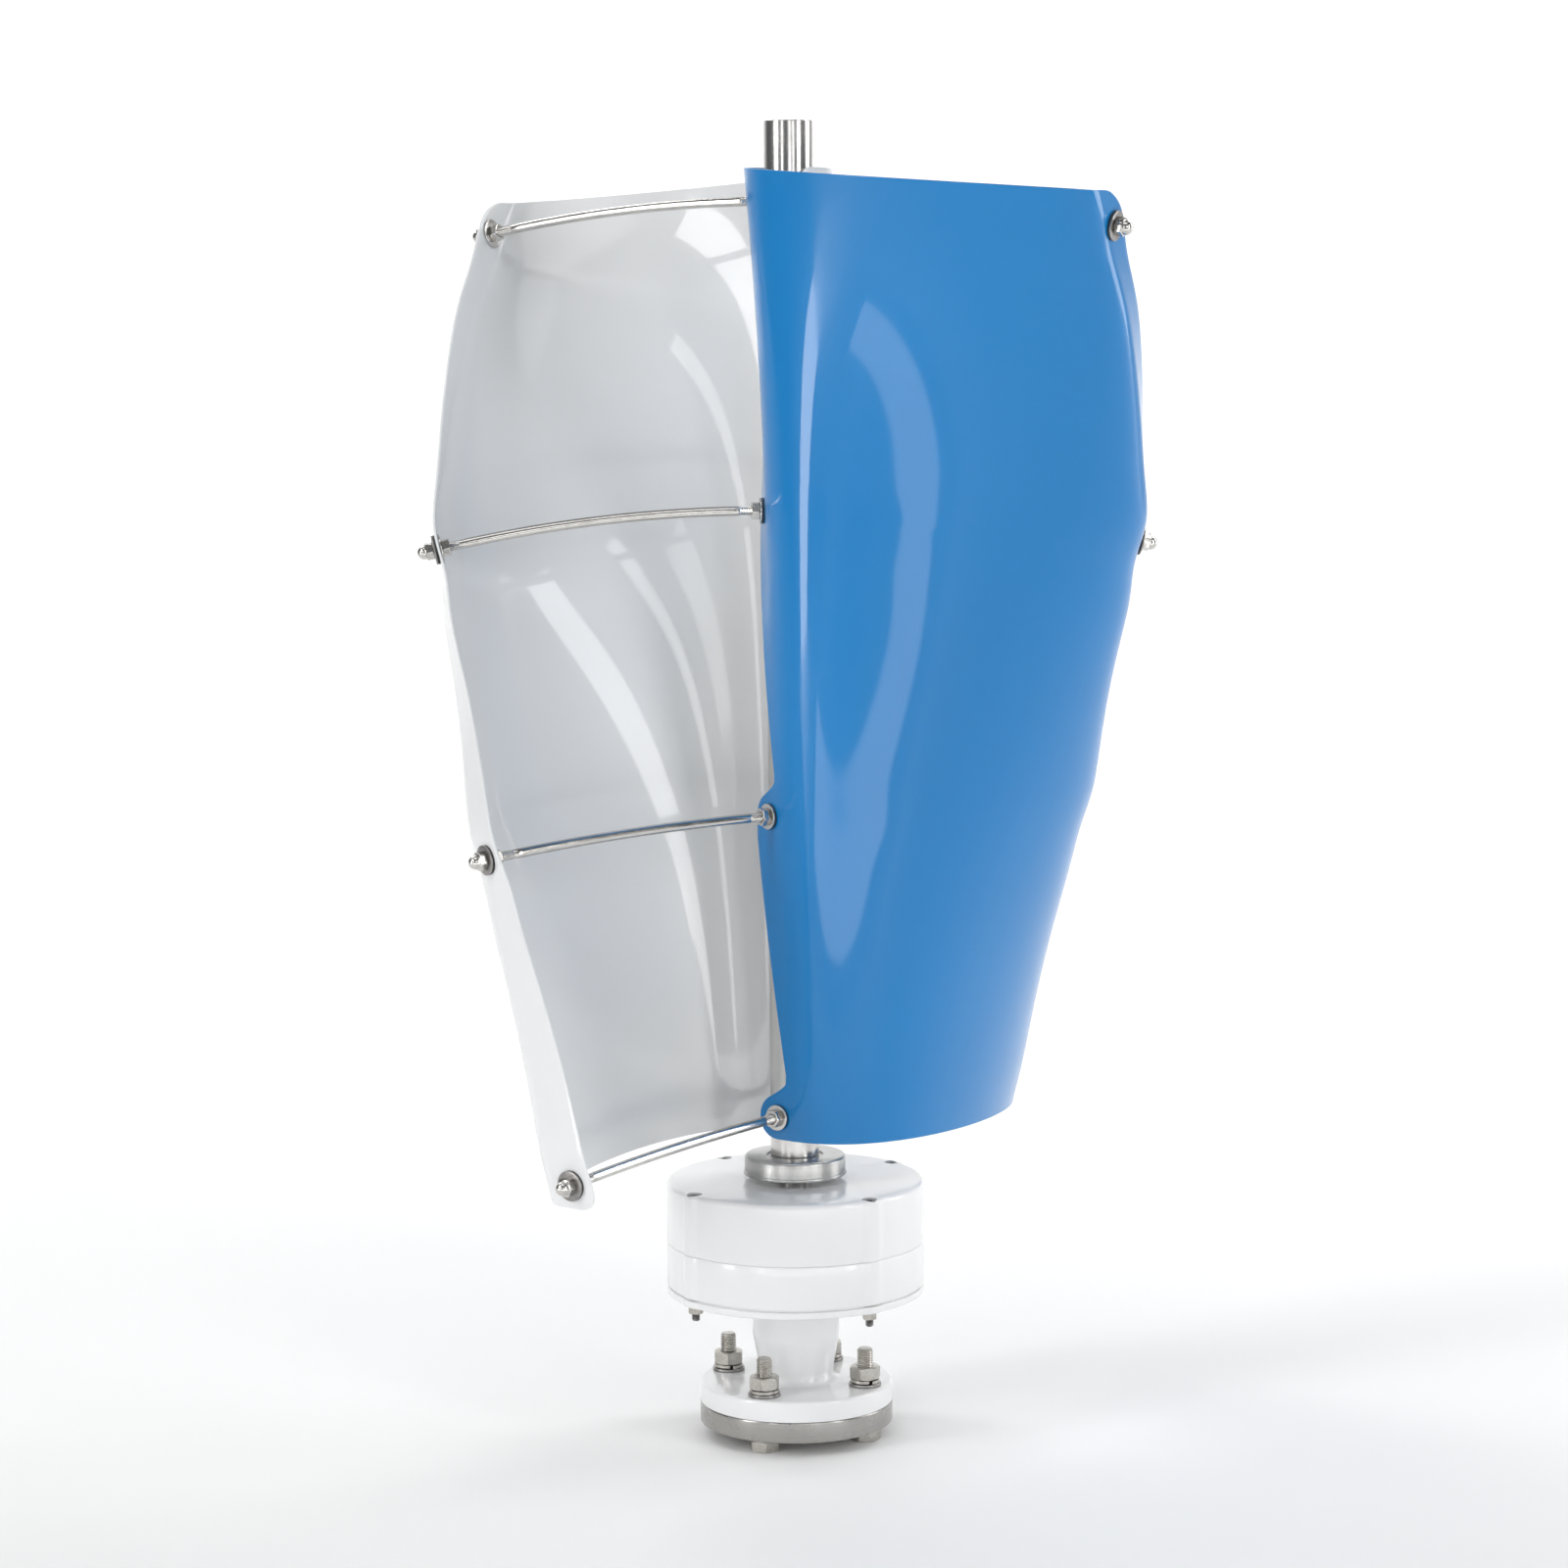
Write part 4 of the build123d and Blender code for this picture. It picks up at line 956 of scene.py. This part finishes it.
def buildHousing():
    radius, wall = housing["radius"], housing["innerWall"]
    grooveTop, soft = housing["coverTop"] + housing["groove"], housing["seamChamfer"]
    points = [
        (wall, housing["coverTop"], 0), (radius - housing["grooveDepth"], housing["coverTop"], 0),
        (radius - housing["grooveDepth"], grooveTop, 0), (radius, grooveTop, 0.5),
        (radius, housing["seam"], soft), (wall, housing["seam"], 0),
    ]
    lower = raiseBosses(turned(points, housing["steps"], arcSteps=3), grooveTop - 0.1)
    finishPiece(lower, "generator_lower_shell", "base", ["lower_shell"], whiteEnamel)
    under = housing["top"] - housing["roof"]
    points = [
        (housing["spigot"], housing["seam"], 0), (radius, housing["seam"], soft),
        (radius, housing["top"], housing["roofEdge"]), (housing["lipRadius"], housing["top"], 0.5),
        (housing["lipRadius"], under, 0), (housing["spigot"], under, 1.0),
    ]
    upper = raiseBosses(turned(points, housing["steps"], arcSteps=6), housing["seam"] - 1)
    bit, below, above = housing["counterbore"], -housing["drillBelow"], housing["drillAbove"]
    drill = turned([(0, below, 0), (bit, below, 0), (bit, above, 0), (0, above, 0)], 32, closed=False)
    spots = ringPlaces(housing["bossCircle"], housing["bossCount"], housing["bossStart"], housing["top"] - 1)
    upper = cutAway(upper, stamped(drill, spots))
    finishPiece(upper, "generator_upper_shell", "base", ["upper_shell"], whiteEnamel)


def buildBaseCasting():
    radius = housing["radius"]
    pocket, throat = neck["pocketRadius"], neck["throatRadius"]
    points = [
        (neck["bore"], neck["flangeBottom"], 0), (neck["flangeRadius"], neck["flangeBottom"], 0.6),
        (neck["flangeRadius"], neck["flangeTop"], neck["flangeEdge"]),
        (neck["lowRadius"], neck["flangeTop"], neck["foot"]), (neck["lowRadius"], neck["taperBottom"], 0),
        (neck["highRadius"], neck["taperTop"], 2.5), (neck["highRadius"], housing["coverBottom"], 1.5),
        (radius, housing["coverBottom"], 1.2), (radius, housing["coverTop"], 0.8),
        (neck["bossRadius"], housing["coverTop"], 2.0), (neck["bossRadius"], neck["bossTop"], 0.5),
        (pocket, neck["bossTop"], 0), (pocket, neck["pocketFloor"], 0),
        (throat, neck["pocketFloor"], 0), (throat, neck["boreTop"], 0),
        (neck["bore"], neck["boreTop"], 0),
    ]
    shape = raiseBosses(turned(points, housing["steps"], arcSteps=5), housing["coverBottom"] - 1)
    finishPiece(shape, "generator_base", "base", ["base_casting"], whiteEnamel)


def buildMastFlange():
    edge = mastFlange["chamfer"]
    points = [
        (mastFlange["bore"], 0, edge), (mastFlange["radius"], 0, edge),
        (mastFlange["radius"], mastFlange["thickness"], edge),
        (mastFlange["bore"], mastFlange["thickness"], edge),
    ]
    shape = turned(points, 180)
    finishPiece(shape, "mast_flange_ring", "base", ["mast_flange"], machinedSteel)


buildHousing()
buildBaseCasting()
buildMastFlange()


# housing bolts

housingBolts = {
    "radius": 2.5, "headRadius": 4.25, "headHeight": 5.0, "sink": 1.0, "socket": 4.0, "socketDepth": 2.4,
    "nutWidth": 8.0, "nutHeight": 4.0, "tail": 4.5, "pitch": 0.8,
}


def buildHousingBolts():
    spec = housingBolts
    headTop = housing["top"] - spec["sink"]
    headBottom = headTop - spec["headHeight"]
    side = spec["headRadius"]
    points = [(0, headBottom, 0), (side, headBottom, 0.1), (side, headTop, 0.5), (0, headTop, 0)]
    head = turned(points, 48, closed=False)
    socket = bmesh.new()
    corner = spec["socket"] / sqrt(3)
    bmesh.ops.create_cone(socket, cap_ends=True, segments=6, radius1=corner, radius2=corner,
                          depth=2 * spec["socketDepth"], matrix=Matrix.Translation((0, 0, headTop)))
    head = cutAway(head, socket)
    tailEnd = housing["coverBottom"] - spec["nutHeight"] - spec["tail"]
    shank = threadedBar(spec["radius"], spec["pitch"], -headBottom - 0.2, -tailEnd, 24, 0.7)
    bmesh.ops.rotate(shank, verts=shank.verts, matrix=Matrix.Rotation(pi, 3, "X"))
    spots = ringPlaces(housing["bossCircle"], housing["bossCount"], housing["bossStart"])
    bolts = stamped(joined(head, shank), spots)
    finishPiece(bolts, "housing_cap_screws", "base", ["housing_bolts"], darkSteel)
    nut = hexNut(spec["nutWidth"], spec["nutHeight"], spec["radius"])
    nut = moved(nut, housing["coverBottom"] - spec["nutHeight"])
    finishPiece(stamped(nut, spots), "housing_hex_nuts", "base", ["housing_nuts"], zincSteel)


buildHousingBolts()


# flange bolts

flangeBolts = {
    "radius": 5.0, "pitch": 1.5, "circle": 47.0, "start": 65.0, "count": 4, "width": 17.0, "headHeight": 6.4,
    "nutHeight": 8.0, "washerRadius": 10.0, "washerThickness": 2.0, "headWasherRadius": 9.0,
    "springRadius": 9.0, "springThickness": 2.5, "springTurn": 346.0, "top": 49.7,
}


def springWasher():
    # a split ring whose two ends stand a little apart in height
    spec = flangeBolts
    thick = spec["springThickness"] - 0.5
    shape = bmesh.new()
    inner, outer = spec["radius"] + 0.3, spec["springRadius"]
    corners = [(inner, 0), (outer, 0), (outer, thick), (inner, thick)]
    verts = [shape.verts.new((r, 0, z)) for r, z in corners]
    edges = [shape.edges.new((verts[i], verts[(i + 1) % 4])) for i in range(4)]
    bmesh.ops.spin(shape, geom=verts + edges, axis=(0, 0, 1), angle=radians(spec["springTurn"]), steps=48,
                   dvec=(0, 0, 0.5 / 48))
    bmesh.ops.holes_fill(shape, edges=[edge for edge in shape.edges if edge.is_boundary])
    bmesh.ops.recalc_face_normals(shape, faces=shape.faces)
    edges = [edge for edge in shape.edges if edge.calc_face_angle(0.0) > radians(60)]
    bmesh.ops.bevel(shape, geom=edges, offset=0.2, affect="EDGES", segments=1, profile=0.5, material=-1)
    return shape


def buildFlangeBolts():
    spec = flangeBolts
    spots = ringPlaces(spec["circle"], spec["count"], spec["start"])
    corner = spec["width"] / sqrt(3) * hexCorner
    low = -spec["washerThickness"] - spec["headHeight"]
    high = -spec["washerThickness"]
    head = turned([(0, low, 0), (spec["width"] / 2 * hexFlat, low, 0), (corner, low + 0.8, 0.1),
                   (corner, high, 0.1), (0, high, 0)], 48, closed=False)
    head = cutFlats(head, spec["width"])
    shank = threadedBar(spec["radius"], spec["pitch"], high - 0.2, spec["top"])
    bolts = stamped(joined(head, shank), spots)
    finishPiece(bolts, "flange_hex_bolts", "base", ["flange_bolts"], zincSteel)
    bore = spec["radius"] + 0.3
    lower = moved(flatRing(bore, spec["headWasherRadius"], spec["washerThickness"]), high)
    finishPiece(
        stamped(lower, spots), "bolt_head_washers", "base", ["head_washers"], zincSteel)
    level = neck["flangeTop"]
    flat = stamped(moved(flatRing(bore, spec["washerRadius"], spec["washerThickness"]), level), spots)
    # flat washers under the flange nuts get the steel with painted shade, darkened for the shade under the
    # nuts
    finishPiece(flat, "nut_flat_washers", "base", ["flat_washers"], washerSteelPaintedShade)
    level += spec["washerThickness"]
    turns = [spot @ Matrix.Rotation(radians(40 + 95 * index), 4, "Z") for index, spot in enumerate(spots)]
    split = stamped(moved(springWasher(), level), turns)
    finishPiece(split, "nut_spring_washers", "base", ["spring_washers"], zincSteel)
    level += spec["springThickness"]
    nut = moved(hexNut(spec["width"], spec["nutHeight"], spec["radius"]), level)
    turns = [spot @ Matrix.Rotation(radians(23 * index), 4, "Z") for index, spot in enumerate(spots)]
    finishPiece(stamped(nut, turns), "flange_hex_nuts", "base", ["flange_nuts"], zincSteel)


buildFlangeBolts()


# finishes of the pieces that keep their own mesh

keptFinishes = {
    "bearing_outer_rings": bearingSteel, "bearing_inner_rings": bearingSteel, "bearing_balls": bearingSteel,
    "generator_shaft": machinedSteel, "shaft_circlip": darkSteel, "shaft_seal": blackRubber,
    "magnet_plates": machinedSteel, "magnets": magnetPlating, "plate_spacers": machinedSteel,
    "stator_disc": castResin, "stator_coils": copperWire, "wire_grommet": blackRubber,
    "shaft_sleeve": turnedAluminium, "hub_set_screws": darkSteel,
}
for nodeName, finish in keptFinishes.items():
    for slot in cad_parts[nodeName].material_slots:
        slot.material = finish
print("kept pieces given their finishes:", len(keptFinishes))


# floor, light and camera, in metres

studio = {
    "floorHeight": -0.0084, "floorFront": -4.0, "floorBack": 3.2, "wallTop": 5.0,
    "halfWidth": 6.0, "cove": 1.2,
    "world": (0.93, 0.96, 1.0), "worldStrength": 0.12,
}
softboxes = {
    "tallLeft": {"at": (-1.9, -1.1, 1.0), "aim": (0, 0, 0.5), "size": (0.45, 2.6), "power": 30.0},
    "tallRight": {"at": (1.9, -1.6, 0.9), "aim": (0, 0, 0.5), "size": (0.40, 2.6), "power": 20.0},
    "stripLeft": {"at": (-1.30, -2.35, 0.9), "aim": (0, 0, 0.5), "size": (0.22, 2.6), "power": 8.0},
    "stripRight": {"at": (1.10, -2.55, 0.8), "aim": (0, 0, 0.5), "size": (0.20, 2.6), "power": 8.0},
    "sideRight": {"at": (2.4, 0.5, 1.0), "aim": (0, 0, 0.5), "size": (0.9, 2.4), "power": 26.0},
    "overhead": {"at": (-0.3, -0.9, 3.0), "aim": (0, 0, 0.3), "size": (2.0, 1.2), "power": 12.0},
    "front": {"at": (0.5, -4.2, 1.4), "aim": (0, 0, 0.5), "size": (0.8, 1.2), "power": 9.0},
    "lowFront": {"at": (0.1, -1.0, 0.08), "aim": (0, 0, 0.5), "size": (2.0, 0.10), "power": 1.7},
    "wallLeft": {"at": (-1.6, 1.2, 2.6), "aim": (-1.2, 3.2, 0.4), "size": (1.6, 1.0), "power": 46.0},
    "wallRight": {"at": (1.6, 1.2, 2.6), "aim": (1.2, 3.2, 0.4), "size": (1.6, 1.0), "power": 46.0},
}


def buildStage():
    low, back, cove = studio["floorHeight"], studio["floorBack"], studio["cove"]
    points = [(studio["floorFront"], low, 0), (back, low, cove), (back, studio["wallTop"], 0)]
    outline = roundedOutline(points, closed=False, arcSteps=24)
    shape = bmesh.new()
    verts = [shape.verts.new((-studio["halfWidth"], p.x, p.y)) for p in outline]
    edges = [shape.edges.new(pair) for pair in zip(verts, verts[1:])]
    grown = bmesh.ops.extrude_edge_only(shape, edges=edges)["geom"]
    bmesh.ops.translate(shape, verts=[part for part in grown if isinstance(part, bmesh.types.BMVert)],
                        vec=(2 * studio["halfWidth"], 0, 0))
    for face in shape.faces:
        face.smooth = True
    mesh = bpy.data.meshes.new("studio_floor")
    shape.to_mesh(mesh)
    shape.free()
    material, tree, shader = startMaterial("paleFloor", {"Roughness": 0.75})
    cloud = useGroup(tree, fineGrain, Scale=1.5, Detail=4.0)
    tone = mixColours(tree, cloud, (0.86, 0.86, 0.86), (0.90, 0.90, 0.90))
    tree.links.new(tone, shader.inputs["Base Color"])
    mesh.materials.append(material)
    floor = bpy.data.objects.new("studio_floor", mesh)
    bpy.context.scene.collection.objects.link(floor)


def buildLights():
    for name, spec in softboxes.items():
        light = bpy.data.lights.new(name, "AREA")
        light.shape = "RECTANGLE"
        light.size, light.size_y = spec["size"]
        light.energy = spec["power"]
        lamp = bpy.data.objects.new(name, light)
        lamp.location = spec["at"]
        facing = Vector(spec["aim"]) - lamp.location
        lamp.rotation_euler = facing.to_track_quat("-Z", "Y").to_euler()
        lamp.visible_camera = False
        bpy.context.scene.collection.objects.link(lamp)
    world = bpy.data.worlds.new("studio")
    world.use_nodes = True
    sky = world.node_tree.nodes["Background"]
    sky.inputs["Color"].default_value = (*studio["world"], 1.0)
    sky.inputs["Strength"].default_value = studio["worldStrength"]
    bpy.context.scene.world = world


def buildCamera():
    spec = {"at": (-0.0052, -2.5103, 0.7038), "tip": -6.904, "roll": -0.395, "lens": 94.4, "sensor": 36.0}
    lens = bpy.data.cameras.new("camera")
    lens.lens, lens.sensor_width = spec["lens"], spec["sensor"]
    camera = bpy.data.objects.new("camera", lens)
    turn = Matrix.Rotation(radians(90 + spec["tip"]), 4, "X") @ Matrix.Rotation(radians(spec["roll"]), 4, "Z")
    camera.matrix_world = Matrix.Translation(spec["at"]) @ turn
    bpy.context.scene.collection.objects.link(camera)
    bpy.context.scene.camera = camera


buildStage()
buildLights()
buildCamera()
bpy.context.scene.view_settings.view_transform = "Standard"
print("stage, lights and camera set")
